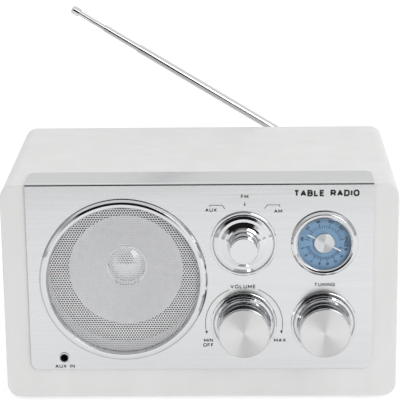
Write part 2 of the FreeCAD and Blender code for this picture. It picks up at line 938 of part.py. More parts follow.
def dial_needle():
    """The double-ended white needle under the boss, with a hub round the spindle."""
    turn = FRONT.multiply(Rotation(Vector(0, 0, 1), -SIZES["needle_angle"]))
    base = "-boss_gauge + 0.2 - needle_gauge"
    back = f"{PLATE_FRONT} - ({base})"

    def outline(sketch):
        hub, reach, half = "spindle_radius + 0.9", "needle_length / 2", "needle_width / 2"
        polygon(sketch, [
            (f"-{reach}", f"-{half}"), (f"-({hub})", f"-{half}"), (f"-({hub})", f"-({hub})"),
            (hub, f"-({hub})"), (hub, f"-{half}"), (reach, f"-{half}"),
            (reach, half), (hub, half), (hub, hub),
            (f"-({hub})", hub), (f"-({hub})", half), (f"-{reach}", half),
        ])
        circle(sketch, "0", "0", "spindle_radius")

    return padded("dial_needle", outline, "needle_gauge",
                  across="outer_column", back=back, up=UPPER, turn=turn)


# Tuning gears

def involute(angle):
    return math.tan(angle) - angle


def tooth_profile(teeth):
    """Radii and half angles of one flank, from the root to the tip."""
    pitch = SIZES["tooth_module"] * teeth / 2
    slope = math.radians(SIZES["pressure_angle"])
    base = pitch * math.cos(slope)
    root = pitch - 1.25 * SIZES["tooth_module"]
    tip = pitch + SIZES["tooth_module"]
    half = math.pi / (2 * teeth) - SIZES["tooth_backlash"] / (2 * pitch) + involute(slope)
    steps = 4
    flank = [(root, half)] if root < base else []
    start = max(root, base)
    for index in range(steps + 1):
        radius = start + (tip - start) * index / steps
        flank.append((radius, half - involute(math.acos(min(1, base / radius)))))
    return flank


def gear_face(teeth, first_tooth):
    """The gear's outline, with one tooth pointing along an angle in degrees."""
    flank = tooth_profile(teeth)
    corners = []
    for index in range(teeth):
        middle = math.radians(first_tooth) + 2 * math.pi * index / teeth
        for radius, half in flank:
            corners.append((radius, middle - half))
        for radius, half in reversed(flank):
            corners.append((radius, middle + half))
    spots = [Vector(radius * math.cos(angle), radius * math.sin(angle), 0) for radius, angle in corners]
    return Part.Face(Part.makePolygon(spots + spots[:1]))


def gear(teeth, first_tooth):
    """A toothed disc of the common face width, its back at local Z = 0."""
    return gear_face(teeth, first_tooth).extrude(Vector(0, 0, SIZES["gear_face"]))


def front_placed(label, shape, across, back, up):
    """A computed piece, drawn in the front frame."""
    feature = fixed_shape(label, shape)
    return place(feature, across=across, back=back, up=up)


GEAR_BACK = "-cabinet_depth / 2 + wall + gear_lead + gear_face"
PINION_UP = 90
PINION_DOWN = 270
IDLER = "lower_row + tooth_module * (pinion_teeth + idler_teeth) / 2"


def tuning_shaft():
    """The tuning knob's shaft with its pinion, in one piece."""
    behind = number("post_length + 2 - gear_lead - gear_face")
    ahead = number("gear_face + gear_lead + wall + plate_gauge + shaft_reach")
    rod = Part.makeCylinder(SIZES["shaft_radius"], behind + ahead, Vector(0, 0, -behind))
    shape = rod.fuse(gear(SIZES["pinion_teeth"], PINION_UP)).removeSplitter()
    return front_placed("tuning_shaft", shape, "outer_column", GEAR_BACK, LOWER)


def idler_gear():
    """The middle gear with a hub that spaces it from the gear plate."""
    back = number("post_length - gear_lead - gear_face - 0.3")
    step = 180 / SIZES["idler_teeth"]
    hub = Part.makeCylinder(SIZES["gear_hub"], back + 0.1, Vector(0, 0, -back))
    bore = Part.makeCylinder(SIZES["spindle_radius"] + SIZES["running_gap"], 20, Vector(0, 0, -10))
    shape = gear(SIZES["idler_teeth"], PINION_UP + step).fuse(hub).cut(bore).removeSplitter()
    return front_placed("idler_gear", shape, "outer_column", GEAR_BACK, f"foot_height + {IDLER}")


def dial_gear():
    """The large gear, moulded with the spindle that carries the pointer."""
    front = number("gear_face + gear_lead + wall + plate_gauge - 0.2")
    behind = number("post_length + bracket_gauge + 4 - gear_lead - gear_face")
    web = number("dial_teeth * tooth_module / 2 - 4")
    spindle = Part.makeCylinder(SIZES["spindle_radius"], behind + front, Vector(0, 0, -behind))
    hub = Part.makeCylinder(SIZES["gear_hub"], 2, Vector(0, 0, -2))
    shape = gear(SIZES["dial_teeth"], PINION_DOWN)
    hollow = Part.makeCylinder(web, 1, Vector(0, 0, SIZES["gear_face"] - 1))
    shape = shape.cut(hollow).fuse(hub).fuse(spindle).removeSplitter()
    return front_placed("dial_gear", shape, "outer_column", GEAR_BACK, UPPER)


def gear_plate():
    """Steel plate on four posts that carries the ends of the three shafts."""
    width = "2 * (bracket_post + bracket_margin)"
    low = "lower_row - bracket_drop - bracket_margin"
    high = "upper_row + bracket_post + bracket_margin"

    def outline(sketch):
        rectangle(sketch, "outer_column", f"(({low}) + ({high})) / 2", width, f"({high}) - ({low})")
        circle(sketch, "outer_column", "lower_row", "shaft_radius + running_gap")
        circle(sketch, "outer_column", IDLER, "spindle_radius")
        circle(sketch, "outer_column", "upper_row", "spindle_radius + running_gap")
        for across, up in bracket_posts():
            circle(sketch, across, up, "screw_radius + 0.1")

    return padded("gear_plate", outline, "bracket_gauge",
                  back=f"{BOARD_FRONT} + bracket_gauge", up="foot_height")


def idler_axle():
    """The pin riveted into the gear plate."""
    return cylinder("idler_axle", "spindle_radius", "post_length + bracket_gauge - 0.2",
                    across="outer_column", back=f"{BOARD_FRONT} + bracket_gauge",
                    up=f"foot_height + {IDLER}")


def bracket_posts():
    """Four posts round the gears, clear of the large gear's teeth."""
    levels = ("upper_row + bracket_post", "lower_row - bracket_drop")
    return [(f"outer_column {side} bracket_post", level) for side in "+-" for level in levels]


def board_posts():
    """Four posts near the main board's corners."""
    return [(f"board_{side}", level)
            for side in ("left + 4", "right - 4") for level in ("board_low + 4", "board_high - 4")]


def spacer_posts():
    """Eight equal tube posts on the baffle, for the main board and the gear plate."""
    posts = []
    for across, up in bracket_posts() + board_posts():
        name = f"post_{len(posts)}"
        where = {"across": across, "back": BOARD_FRONT, "up": f"foot_height + {up}"}
        outer = cylinder(name, "post_radius", "post_length", **where)
        bore = cylinder(name + "_bore", "screw_radius", "post_length", **where)
        posts.append(cut(name + "_tube", outer, bore))
    return group("spacer_posts", posts)


# Electronics

def main_board():
    """The circuit board behind the volume and selector controls."""
    def outline(sketch):
        rectangle(sketch, "(board_left + board_right) / 2", "(board_low + board_high) / 2",
                  "board_right - board_left", "board_high - board_low")
        for across, up in board_posts():
            circle(sketch, across, up, "screw_radius + 0.1")

    return padded("main_board", outline, "board_gauge",
                  back=f"{BOARD_FRONT} + board_gauge", up="foot_height")


def volume_pot():
    """Round potentiometer on the board, with a bush for the shaft."""
    return turned("volume_pot", [
        ("shaft_radius + running_gap", "pot_floor"),
        ("0", "pot_floor"),
        ("0", "0"),
        ("pot_radius", "0"),
        ("pot_radius", "pot_depth"),
        ("shaft_radius + running_gap", "pot_depth"),
    ], across="inner_column", back=BOARD_FRONT, up=LOWER)


def selector_switch():
    """Square rotary switch on the board, with a bush for the shaft."""
    body = padded("selector_switch",
                  lambda sketch: rectangle(sketch, "0", "0", "switch_side", "switch_side"),
                  "pot_depth", across="inner_column", back=BOARD_FRONT, up=UPPER)
    DOC.recompute()
    before = body.Shape.Volume
    sketch = sketch_on(body, "XY_Plane")
    circle(sketch, "0", "0", "shaft_radius + running_gap")
    sketch.AttachmentOffset = Placement(Vector(0, 0, SIZES["pot_floor"]), UPRIGHT)
    bore = body.newObject("PartDesign::Pocket", "selector_switch_bore")
    bore.Profile = sketch
    bore.Reversed = True
    bore.Type = "ThroughAll"
    DOC.recompute()
    if body.Shape.Volume >= before:
        raise ValueError("the switch's bore removed nothing")
    return body


def board_chips():
    """Tuner and amplifier chips on the board's back."""
    back = f"{BOARD_FRONT} + board_gauge + chip_height / 2"
    middle = "(board_left + board_right) / 2"
    return group("board_chips", [
        box("tuner_chip", "chip_size", "chip_height", "2 * chip_size", middle, back,
            "foot_height + tuner_chip_up"),
        box("amplifier_chip", "chip_size", "chip_height", "1.5 * chip_size", middle, back,
            "foot_height + amplifier_chip_up"),
    ])


def filter_capacitors():
    """Three electrolytic cans standing off the board's back."""
    back = f"{BOARD_FRONT} + board_gauge + can_length"
    middle = "(board_left + board_right) / 2"
    return group("filter_capacitors", [
        cylinder(f"can_{index}", "can_radius", "can_length", across=f"{middle} + {index - 1} * can_step",
                 back=back, up="foot_height + can_up")
        for index in range(3)
    ])


def tuning_capacitor():
    """Sealed variable capacitor behind the gear plate, with a blind bore for the spindle."""
    return cut("tuning_capacitor",
               box("tuner_block", "tuner_side", "tuner_depth", "tuner_side", "outer_column",
                   f"{BOARD_FRONT} + bracket_gauge + tuner_depth / 2", UPPER),
               cylinder("tuner_hole", "spindle_radius + running_gap", "tuner_bore", across="outer_column",
                        back=f"{BOARD_FRONT} + bracket_gauge + tuner_bore", up=UPPER))


SIDEWAYS = Rotation(Vector(0, 1, 0), 90)
ROD_UP = "foot_height + cabinet_height - wall - rod_drop"


def ferrite_rod():
    """The receiving rod under the cabinet's top."""
    return cylinder("ferrite_rod", "rod_radius", "rod_length",
                    across="-rod_length / 2", back="rod_back", up=ROD_UP, turn=SIDEWAYS)


def rod_winding():
    """The coil wound on the rod."""
    where = {"across": "-winding_length / 2", "back": "rod_back", "up": ROD_UP, "turn": SIDEWAYS}
    return cut("rod_winding",
               cylinder("winding_outer", "winding_radius", "winding_length", **where),
               cylinder("winding_bore", "rod_radius", "winding_length", **where))


def rod_holders():
    """Two plastic saddles glued under the top."""
    holders = []
    height = "rod_drop + rod_radius + 2"
    for side in "-+":
        across = f"{side} holder_span"
        block = box(f"holder_{side == '-'}", "holder_gauge", "holder_width", height, across, "rod_back",
                    f"foot_height + cabinet_height - wall - ({height}) / 2")
        hole = cylinder(f"holder_hole_{side == '-'}", "rod_radius", "holder_gauge",
                        across=f"{across} - holder_gauge / 2", back="rod_back", up=ROD_UP, turn=SIDEWAYS)
        holders.append(cut(f"holder_cut_{side == '-'}", block, hole))
    return group("rod_holders", holders)


# Mains side

def power_inlet():
    """Two-pole appliance inlet in the back panel, with a cavity for the lead's socket."""
    body = padded("power_inlet",
                  lambda sketch: rectangle(sketch, "0", "0", "inlet_width", "inlet_height"),
                  "inlet_depth", across="inlet_across", back=f"{PANEL_BACK} + inlet_lip",
                  up="foot_height + inlet_up")
    DOC.recompute()
    flange_sketch = sketch_on(body, "XY_Plane")
    rectangle(flange_sketch, "0", "0", "inlet_width + 2 * inlet_flange", "inlet_height + 2 * inlet_flange")
    flange = body.newObject("PartDesign::Pad", "power_inlet_flange")
    flange.Profile = flange_sketch
    bind(flange, Length="inlet_lip")

    def cavity(sketch):
        rectangle(sketch, "0", "0", "socket_width - socket_height", "socket_height")

    def lobes(side):
        return lambda sketch: circle(sketch, f"{side}(socket_width - socket_height) / 2", "0",
                                     "socket_height / 2")

    pocket(body, cavity, "socket_depth")
    pocket(body, lobes("-"), "socket_depth")
    pocket(body, lobes(""), "socket_depth")
    return body


def inlet_pins():
    """The two round pins in the inlet."""
    floor = f"{PANEL_BACK} + inlet_lip - socket_depth"
    return group("inlet_pins", [
        cylinder(f"pin_{index}", "pin_radius", "pin_length", across=f"inlet_across {side} pin_spacing / 2",
                 back=f"{floor} + pin_length", up="foot_height + inlet_up")
        for index, side in enumerate("-+")
    ])


CORE_UP = "foot_height + wall + core_height / 2"


def transformer_core():
    """Laminated core with two windows, standing on the cabinet's floor."""
    width = "(core_width - 4 * core_leg) / 2"
    height = "core_height - 2 * core_leg"
    centre = f"core_leg + ({width}) / 2"
    windows = [
        box(f"window_{index}", width, "core_depth", height, f"inlet_across {side} ({centre})",
            "core_back", CORE_UP)
        for index, side in enumerate("-+")
    ]
    block = box("core_block", "core_width", "core_depth", "core_height",
                "inlet_across", "core_back", CORE_UP)
    return cut("transformer_core", block, *windows)


def transformer_coil():
    """The winding on the core's middle leg."""
    width = "core_width - 2 * core_leg - 2 * coil_gap"
    depth = "core_depth + core_leg * 2"
    height = "core_height - 2 * core_leg - 2 * coil_gap"
    outer = box("coil_outer_block", width, depth, height, "inlet_across", "core_back", CORE_UP)
    leg = box("coil_leg", "2 * core_leg", "core_depth", height, "inlet_across", "core_back", CORE_UP)
    return cut("transformer_coil", outer, leg)


def aux_jack():
    """Jack socket behind the baffle, its nose through the plate."""
    return turned("aux_jack", [
        ("jack_bore", "jack_proud"),
        ("jack_nose", "jack_proud"),
        ("jack_nose", "-plate_gauge - wall"),
        ("jack_body / 2", "-plate_gauge - wall"),
        ("jack_body / 2", "-plate_gauge - wall - jack_body_depth"),
        ("0", "-plate_gauge - wall - jack_body_depth"),
        ("0", "jack_proud - jack_bore_length"),
        ("jack_bore", "jack_proud - jack_bore_length"),
    ], across="jack_across", back=PLATE_FRONT, up="foot_height + jack_up")


def aux_nut():
    """The thin ring nut round the jack's nose."""
    return turned("aux_nut", [
        ("jack_nose", "0"),
        ("jack_ring", "0"),
        ("jack_ring", "jack_proud - 0.3"),
        ("jack_ring - 0.2", "jack_proud - 0.1"),
        ("jack_nose", "jack_proud - 0.1"),
    ], across="jack_across", back=PLATE_FRONT, up="foot_height + jack_up")


# Screws

def screw_shape():
    """A pan head screw, its head's seat at Z = 0 and its head towards -Z, with a cross recess."""
    head = Part.makeCylinder(SIZES["screw_head"], SIZES["screw_crown"], Vector(0, 0, -SIZES["screw_crown"]))
    rim = [edge for edge in head.Edges if abs(edge.CenterOfMass.z + SIZES["screw_crown"]) < 0.01]
    head = head.makeFillet(0.6 * SIZES["screw_crown"], rim)
    shank = Part.makeCylinder(SIZES["screw_radius"] - 0.02, SIZES["screw_length"])
    reach, slot, depth = 1.6 * SIZES["screw_radius"], SIZES["screw_slot"], 0.6 * SIZES["screw_crown"]
    corner = Vector(-reach, -slot / 2, -SIZES["screw_crown"])
    bar = Part.makeBox(2 * reach, slot, depth, corner)
    cross = bar.fuse(bar.rotated(Vector(), Vector(0, 0, 1), 90))
    return head.fuse(shank).cut(cross).removeSplitter()


def screws():
    """All the equal self-tapping screws, each driven forwards from behind."""
    seats = [(across, f"{PANEL_BACK}", up) for across, up in panel_screw_places()]
    seats += [(across, f"{BAFFLE_BACK} + driver_step + basket_gauge", up)
              for across, up in driver_screw_places()]
    seats += [(across, f"{BOARD_FRONT} + board_gauge", up) for across, up in board_posts()]
    seats += [(across, f"{BOARD_FRONT} + bracket_gauge", up) for across, up in bracket_posts()]
    master = screw_shape()
    copies = []
    for across, back, up in seats:
        base = Vector(number(across), number(back), number(f"foot_height + {up}"))
        copy = master.copy()
        copy.Placement = Placement(base, FRONT)
        copies.append(copy)
    return fixed_shape("screws", Part.makeCompound(copies))


# Antenna: Z along the tubes, X along the tilt pin, the origin on the pin

LEAN = Rotation(Vector(0, 1, 0), SIZES["antenna_lean"] - 90)
PIVOT = {"across": "antenna_across", "back": "antenna_back", "up": "foot_height + antenna_up", "turn": LEAN}


def antenna_bush():
    """The threaded bush and its flange in the back panel, bored for the swivel."""
    return turned("antenna_bush", [
        ("swivel_post + running_gap", "-bush_proud"),
        ("bush_radius - 0.5", "-bush_proud"),
        ("bush_radius", "-bush_proud + 0.5"),
        ("bush_radius", "0"),
        ("bush_shank", "0"),
        ("bush_shank", "back_gauge"),
        ("bush_radius", "back_gauge"),
        ("bush_radius", "back_gauge + bush_nut"),
        ("swivel_post + running_gap", "back_gauge + bush_nut"),
    ], across="antenna_across", back=PANEL_BACK, up="foot_height + antenna_up")


def antenna_swivel():
    """Post in the bush, collar, and a fork with two round ears about the tilt pin."""
    seat = number(f"antenna_back - ({PANEL_BACK} + bush_proud + swivel_gap)")
    inner = number(f"antenna_back - ({PANEL_BACK} - back_gauge - bush_nut)")
    gauge = SIZES["collar_gauge"]
    backwards = Vector(0, 1, 0)
    post = Part.makeCylinder(SIZES["swivel_post"], inner - seat + 1, Vector(0, -inner, 0), backwards)
    plate = Part.makeCylinder(SIZES["swivel_collar"], gauge, Vector(0, -seat, 0), backwards)
    half = SIZES["fork_width"] / 2
    ears = Part.makeCylinder(SIZES["fork_radius"], SIZES["fork_width"], Vector(-half, 0, 0), Vector(1, 0, 0))
    reach = SIZES["fork_radius"]
    slot_bottom = seat - gauge
    stem = Part.makeBox(SIZES["fork_width"], slot_bottom + 0.5, 2 * reach,
                        Vector(-half, -slot_bottom - 0.5, -reach))
    slot = Part.makeBox(SIZES["fork_slot"], slot_bottom + 2 * reach, 4 * reach,
                        Vector(-SIZES["fork_slot"] / 2, -slot_bottom, -2 * reach))
    hole = Part.makeCylinder(SIZES["hinge_radius"], 2 * SIZES["fork_width"],
                             Vector(-SIZES["fork_width"], 0, 0), Vector(1, 0, 0))
    trim = Part.makeCylinder(SIZES["swivel_collar"], 2 * seat, Vector(0, -seat, 0), backwards)
    fork = ears.fuse(stem).common(trim).cut(slot)
    shape = fork.fuse(plate).fuse(post).cut(hole).removeSplitter()
    return place(fixed_shape("antenna_swivel", shape), **PIVOT)


def antenna_pin():
    """The rivet through the fork and the tongue."""
    width = SIZES["fork_width"] + 0.6
    shape = Part.makeCylinder(SIZES["hinge_radius"], width, Vector(-width / 2, 0, 0), Vector(1, 0, 0))
    return place(fixed_shape("antenna_pin", shape), **PIVOT)


def antenna_tube():
    """The outer tube with its flat tongue round the pin."""
    gauge = SIZES["tongue_gauge"]
    disc = Part.makeCylinder(SIZES["tongue_radius"], gauge, Vector(-gauge / 2, 0, 0), Vector(1, 0, 0))
    solid_end = SIZES["tube_start"] + 6
    neck = Part.makeBox(gauge, 2 * SIZES["tube_outer"] - 0.8, SIZES["tube_start"] + 1,
                        Vector(-gauge / 2, 0.4 - SIZES["tube_outer"], 0))
    tube = Part.makeCylinder(SIZES["tube_outer"], SIZES["tube_end"] - SIZES["tube_start"],
                             Vector(0, 0, SIZES["tube_start"]))
    bore = Part.makeCylinder(SIZES["tube_bore"], SIZES["tube_end"], Vector(0, 0, solid_end))
    hole = Part.makeCylinder(SIZES["hinge_radius"] + SIZES["running_gap"], 3 * gauge,
                             Vector(-1.5 * gauge, 0, 0), Vector(1, 0, 0))
    shape = disc.fuse(neck).fuse(tube).cut(bore).cut(hole).removeSplitter()
    return place(fixed_shape("antenna_tube", shape), **PIVOT)


def lean_cylinder(name, radius, start, end):
    """A cylinder along the antenna between two distances from the pin."""
    side = "sin(antenna_lean - 90)"
    rise = "cos(antenna_lean - 90)"
    return cylinder(name, radius, f"{end} - {start}",
                    across=f"antenna_across + {start} * {side}", back="antenna_back",
                    up=f"foot_height + antenna_up + {start} * {rise}", turn=LEAN)


def antenna_middle():
    """The second tube."""
    return cut("antenna_middle",
               lean_cylinder("middle_skin", "middle_outer", "middle_start", "middle_end"),
               lean_cylinder("middle_hollow", "middle_bore", "middle_start", "middle_end"))


def antenna_rod():
    """The thin last section, solid."""
    return lean_cylinder("antenna_rod", "rod_outer", "rod_start", "rod_end")


def antenna_tip():
    """The rounded cap crimped on the rod's end."""
    side = "sin(antenna_lean - 90)"
    rise = "cos(antenna_lean - 90)"
    return turned("antenna_tip", [
        ("0", "0"),
        ("tip_radius - 0.2", "0"),
        ("tip_radius", "0.3"),
        ("tip_radius", "tip_length - 1"),
        ("tip_radius - 0.4", "tip_length - 0.3"),
        ("tip_radius - 1.1", "tip_length"),
        ("0", "tip_length"),
    ], across=f"antenna_across + rod_end * {side}", back="antenna_back",
       up=f"foot_height + antenna_up + rod_end * {rise}", turn=LEAN)


def build():
    """Every sub-part, in the order a bench would lay them out."""
    nodes = [
        cabinet_sleeve(), front_baffle(), front_plate(), back_panel(), corner_blocks(), rubber_feet(),
        speaker_bezel(), speaker_grille(), speaker_frame(), speaker_surround(), speaker_cone(),
        dust_cap(), voice_coil(), *speaker_motor(),
        knob_rings(), dial_bezel(), dial_lens(), dial_scale(), dial_housing(), dial_lamp(),
        round_knob("volume_knob", "inner_column"), knob_cap("volume_cap", "inner_column"),
        shaft("volume_shaft", "inner_column", LOWER, "shaft_reach", "post_length - 2.3"),
        round_knob("tuning_knob", "outer_column"), knob_cap("tuning_cap", "outer_column"),
        tuning_shaft(), idler_gear(), dial_gear(), dial_boss(), dial_needle(), gear_plate(), idler_axle(),
        selector_knob(),
        shaft("selector_shaft", "inner_column", UPPER, "shaft_reach - 2", "post_length - 2.3"),
        spacer_posts(), main_board(), volume_pot(), selector_switch(), board_chips(), filter_capacitors(),
        tuning_capacitor(), ferrite_rod(), rod_winding(), rod_holders(),
        power_inlet(), inlet_pins(), transformer_core(), transformer_coil(),
        aux_jack(), aux_nut(), screws(),
        antenna_bush(), antenna_swivel(), antenna_pin(), antenna_tube(),
        antenna_middle(), antenna_rod(), antenna_tip(),
    ]
    DOC.recompute()
    return nodes


def check(nodes):
    """Stops the script if an object failed or a piece has no sound shape."""
    for item in DOC.Objects:
        if {"Invalid", "Error"} & set(item.State):
            raise ValueError(f"{item.Label} failed: {item.State}")
    for node in nodes:
        if node.Shape.isNull() or not node.Shape.isValid() or not node.Shape.Solids:
            raise ValueError(f"{node.Label} has no sound solid")


def write(nodes):
    os.makedirs("parts", exist_ok=True)
    for node in nodes:
        node.Shape.exportStep(f"parts/{node.Label}.step")


def main():
    nodes = build()
    check(nodes)
    write(nodes)
    print(f"{len(nodes)} nodes written")


main()
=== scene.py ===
import math

import bmesh
import bpy
from mathutils import Matrix, Vector


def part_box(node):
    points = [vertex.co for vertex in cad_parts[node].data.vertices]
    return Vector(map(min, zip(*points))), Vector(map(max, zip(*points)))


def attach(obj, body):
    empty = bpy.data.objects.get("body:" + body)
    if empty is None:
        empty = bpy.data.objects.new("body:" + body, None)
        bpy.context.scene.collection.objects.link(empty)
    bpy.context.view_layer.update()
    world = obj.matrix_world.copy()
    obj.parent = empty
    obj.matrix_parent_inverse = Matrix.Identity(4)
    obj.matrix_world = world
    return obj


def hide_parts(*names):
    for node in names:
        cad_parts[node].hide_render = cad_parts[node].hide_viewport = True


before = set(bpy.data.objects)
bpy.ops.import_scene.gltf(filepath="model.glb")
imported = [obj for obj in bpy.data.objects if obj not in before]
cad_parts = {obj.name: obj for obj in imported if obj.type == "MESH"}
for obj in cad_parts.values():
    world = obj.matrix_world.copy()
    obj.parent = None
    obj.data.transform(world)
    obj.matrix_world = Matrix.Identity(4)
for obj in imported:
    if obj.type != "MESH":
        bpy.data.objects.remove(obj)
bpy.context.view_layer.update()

# Looks of the tabletop radio, in metres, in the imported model's own frame: +Z up, front towards -Y.
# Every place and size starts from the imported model's boxes; lengths written here are in millimetres.

MM = 0.001

# The front frame turns local X, Y, Z into the radio's X, Z, -Y, so that local Z points out of the front.
FRONT = Matrix.Rotation(math.radians(90), 4, "X")

# Where the front plate's face lies along Y
PLATE_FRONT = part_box("front_plate")[0].y

# How far printed ink stands out, in millimetres
INK_GAUGE = 0.03


def middle(node):
    low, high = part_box(node)
    return (low + high) / 2


def front_of(node):
    """Where a piece starts along Y."""
    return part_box(node)[0].y


def back_of(node):
    """Where a piece ends along Y."""
    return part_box(node)[1].y


def radius_of(node):
    """Half the width of a round piece, in millimetres."""
    low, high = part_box(node)
    return (high.x - low.x) / 2 / MM


def depth_of(node):
    """How far a piece reaches along Y, in millimetres."""
    return (back_of(node) - front_of(node)) / MM


def proud_of(node):
    """How far a piece stands out of the front plate, in millimetres."""
    return (PLATE_FRONT - front_of(node)) / MM


def on_front(node, depth=PLATE_FRONT):
    """The front frame at the middle of a round piece, with its Z zero on the plate or at a place along Y."""
    spot = middle(node)
    return Matrix.Translation((spot.x, depth, spot.z)) @ FRONT


# Materials

class Surface:
    """A Principled material built step by step from procedural textures in object space.

    The colour given first stays on the socket as the plain colour under a tint.
    """

    def __init__(self, name, colour, metallic=0.0, roughness=0.5, **sockets):
        self.material = bpy.data.materials.new(name)
        self.material.use_nodes = True
        self.tree = self.material.node_tree
        self.shader = self.tree.nodes["Principled BSDF"]
        self.put(self.shader, {"Base Color": (*colour, 1.0), "Metallic": metallic, "Roughness": roughness})
        self.put(self.shader, sockets)
        self.coordinates = self.add("ShaderNodeTexCoord")

    def add(self, kind, **settings):
        node = self.tree.nodes.new(kind)
        for name, value in settings.items():
            setattr(node, name, value)
        return node

    def put(self, node, values):
        """Sets sockets by name, or links them where the value is another node's socket."""
        for name, value in values.items():
            socket = node.inputs[name.replace("_", " ") if isinstance(name, str) else name]
            if isinstance(value, bpy.types.NodeSocket):
                self.tree.links.new(value, socket)
            else:
                socket.default_value = value
        return node

    def noise(self, size, stretch=(1, 1, 1), detail=3.0, rough=0.5):
        """Noise whose grains are about size millimetres, longer along the axes with a stretch above 1."""
        scale = [1 / (size * MM * each) for each in stretch]
        mapping = self.put(self.add("ShaderNodeMapping"),
                           {"Vector": self.coordinates.outputs["Object"], "Scale": scale})
        texture = self.put(self.add("ShaderNodeTexNoise"), {
            "Vector": mapping.outputs[0], "Scale": 1.0, "Detail": detail, "Roughness": rough})
        return texture.outputs["Fac"]

    def rings(self, size, detail=2.0):
        """Noise that depends only on the distance from the local Z axis, as a lathe's marks do."""
        split = self.put(self.add("ShaderNodeSeparateXYZ"), {0: self.coordinates.outputs["Object"]})
        flat = self.put(self.add("ShaderNodeCombineXYZ"), {0: split.outputs[0], 1: split.outputs[1]})
        radius = self.put(self.add("ShaderNodeVectorMath", operation="LENGTH"), {0: flat.outputs[0]})
        scaled = self.put(self.add("ShaderNodeMath", operation="MULTIPLY"),
                          {0: radius.outputs["Value"], 1: 1 / (size * MM)})
        texture = self.put(self.add("ShaderNodeTexNoise", noise_dimensions="1D"),
                           {"W": scaled.outputs[0], "Scale": 1.0, "Detail": detail})
        return texture.outputs["Fac"]

    def tint(self, factor, low, high, start=0.3, end=0.7):
        """Colour that runs from low to high with a factor."""
        ramp = self.add("ShaderNodeValToRGB")
        ramp.color_ramp.elements[0].position = start
        ramp.color_ramp.elements[1].position = end
        ramp.color_ramp.elements[0].color = (*low, 1)
        ramp.color_ramp.elements[1].color = (*high, 1)
        self.put(ramp, {"Fac": factor})
        self.put(self.shader, {"Base Color": ramp.outputs["Color"]})
        return self

    def polish(self, factor, low, high):
        """Roughness that runs from low to high with a factor."""
        spread = self.put(self.add("ShaderNodeMapRange"), {
            "Value": factor, "From Min": 0.3, "From Max": 0.7, "To Min": low, "To Max": high})
        self.put(self.shader, {"Roughness": spread.outputs[0]})
        return self

    def relief(self, factor, height, strength=1.0):
        """Bumps of about height millimetres, laid over any that are there already."""
        bump = self.put(self.add("ShaderNodeBump"), {
            "Height": factor, "Distance": height * MM, "Strength": strength})
        earlier = self.shader.inputs["Normal"]
        if earlier.is_linked:
            self.put(bump, {"Normal": earlier.links[0].from_socket})
        self.put(self.shader, {"Normal": bump.outputs[0]})
        return self

    def grain_about(self, axis):
        """Sets the grain's direction, round an axis through the middle of the piece."""
        tangent = self.add("ShaderNodeTangent", direction_type="RADIAL", axis=axis)
        self.put(self.shader, {"Tangent": tangent.outputs[0]})
        return self


def grey(level, warm=0.0):
    """A near neutral colour, a little warm above zero and a little cool below it."""
    return (level * (1 + warm), level, level * (1 - warm))


def white_lacquer():
    look = Surface("white_lacquer", grey(0.80), roughness=0.42, Coat_Weight=0.15, Coat_Roughness=0.3)
    look.tint(look.noise(14, (1, 1, 6)), grey(0.73, 0.006), grey(0.77, 0.004))
    look.polish(look.noise(4), 0.38, 0.48)
    look.relief(look.noise(1.3), 0.02, 0.25)
    return look.relief(look.noise(0.5, (1, 12, 12)), 0.01, 0.12)


def back_board():
    look = Surface("back_board", grey(0.70), roughness=0.6)
    look.tint(look.noise(9), grey(0.67, 0.015), grey(0.71, 0.015))
    return look.relief(look.noise(0.8), 0.05, 0.4)


def raw_wood():
    look = Surface("raw_wood", (0.5, 0.35, 0.2), roughness=0.7)
    look.tint(look.noise(1.5, (1, 10, 1)), (0.36, 0.23, 0.12), (0.58, 0.42, 0.25))
    return look.relief(look.noise(0.6, (1, 10, 1)), 0.1, 0.4)


def brushed_plate():
    look = Surface("brushed_plate", grey(0.8), metallic=1.0, roughness=0.18, Anisotropic=0.4)
    look.tint(look.noise(0.35, (160, 1, 1), detail=5), grey(0.625, -0.010), grey(0.66, -0.010))
    look.polish(look.noise(0.6, (90, 1, 1)), 0.16, 0.20)
    look.relief(look.noise(0.12, (260, 1, 1)), 0.003, 0.2)
    return look.grain_about("X")


def spun_aluminium():
    look = Surface("spun_aluminium", grey(0.9), metallic=1.0, roughness=0.32, Anisotropic=0.92,
                   Anisotropic_Rotation=0.25)
    look.tint(look.rings(0.25), grey(0.62), grey(0.67))
    look.relief(look.rings(0.12), 0.003, 0.3)
    return look.grain_about("Z")


def chrome():
    look = Surface("chrome", (0.615, 0.62, 0.635), metallic=1.0, roughness=0.05)
    look.polish(look.noise(2.5), 0.03, 0.07)
    return look.relief(look.noise(6), 0.006, 0.15)


def grille_metal():
    look = Surface("grille_metal", grey(0.6), metallic=0.35, roughness=0.42)
    look.tint(look.noise(3), (0.80, 0.80, 0.82), (0.87, 0.87, 0.89))
    return look.relief(look.noise(0.2), 0.01, 0.3)


def rubber(name, level):
    look = Surface(name, grey(level), roughness=0.75)
    look.tint(look.noise(1.5), grey(level * 0.8), grey(level * 1.3))
    return look.relief(look.noise(0.3), 0.03, 0.5)


def cone_paper():
    look = Surface("cone_paper", grey(0.7), metallic=0.3, roughness=0.4)
    look.tint(look.noise(1.2), (0.86, 0.86, 0.88), (0.94, 0.94, 0.96))
    return look.relief(look.noise(0.4), 0.03, 0.5)


def cap_metal():
    look = Surface("cap_metal", grey(0.9), metallic=1.0, roughness=0.07)
    look.tint(look.noise(2), grey(0.84), grey(0.92))
    return look.relief(look.noise(0.8), 0.01, 0.2)


def coil_former():
    look = Surface("coil_former", (0.3, 0.18, 0.08), roughness=0.6)
    look.tint(look.noise(0.7, (3, 3, 0.4)), (0.26, 0.14, 0.06), (0.40, 0.25, 0.13))
    return look.relief(look.noise(0.3), 0.03, 0.4)


def black_metal():
    look = Surface("black_metal", grey(0.03), metallic=0.2, roughness=0.4)
    look.tint(look.noise(1.0), grey(0.022), grey(0.045))
    return look.relief(look.noise(0.4), 0.02, 0.35)


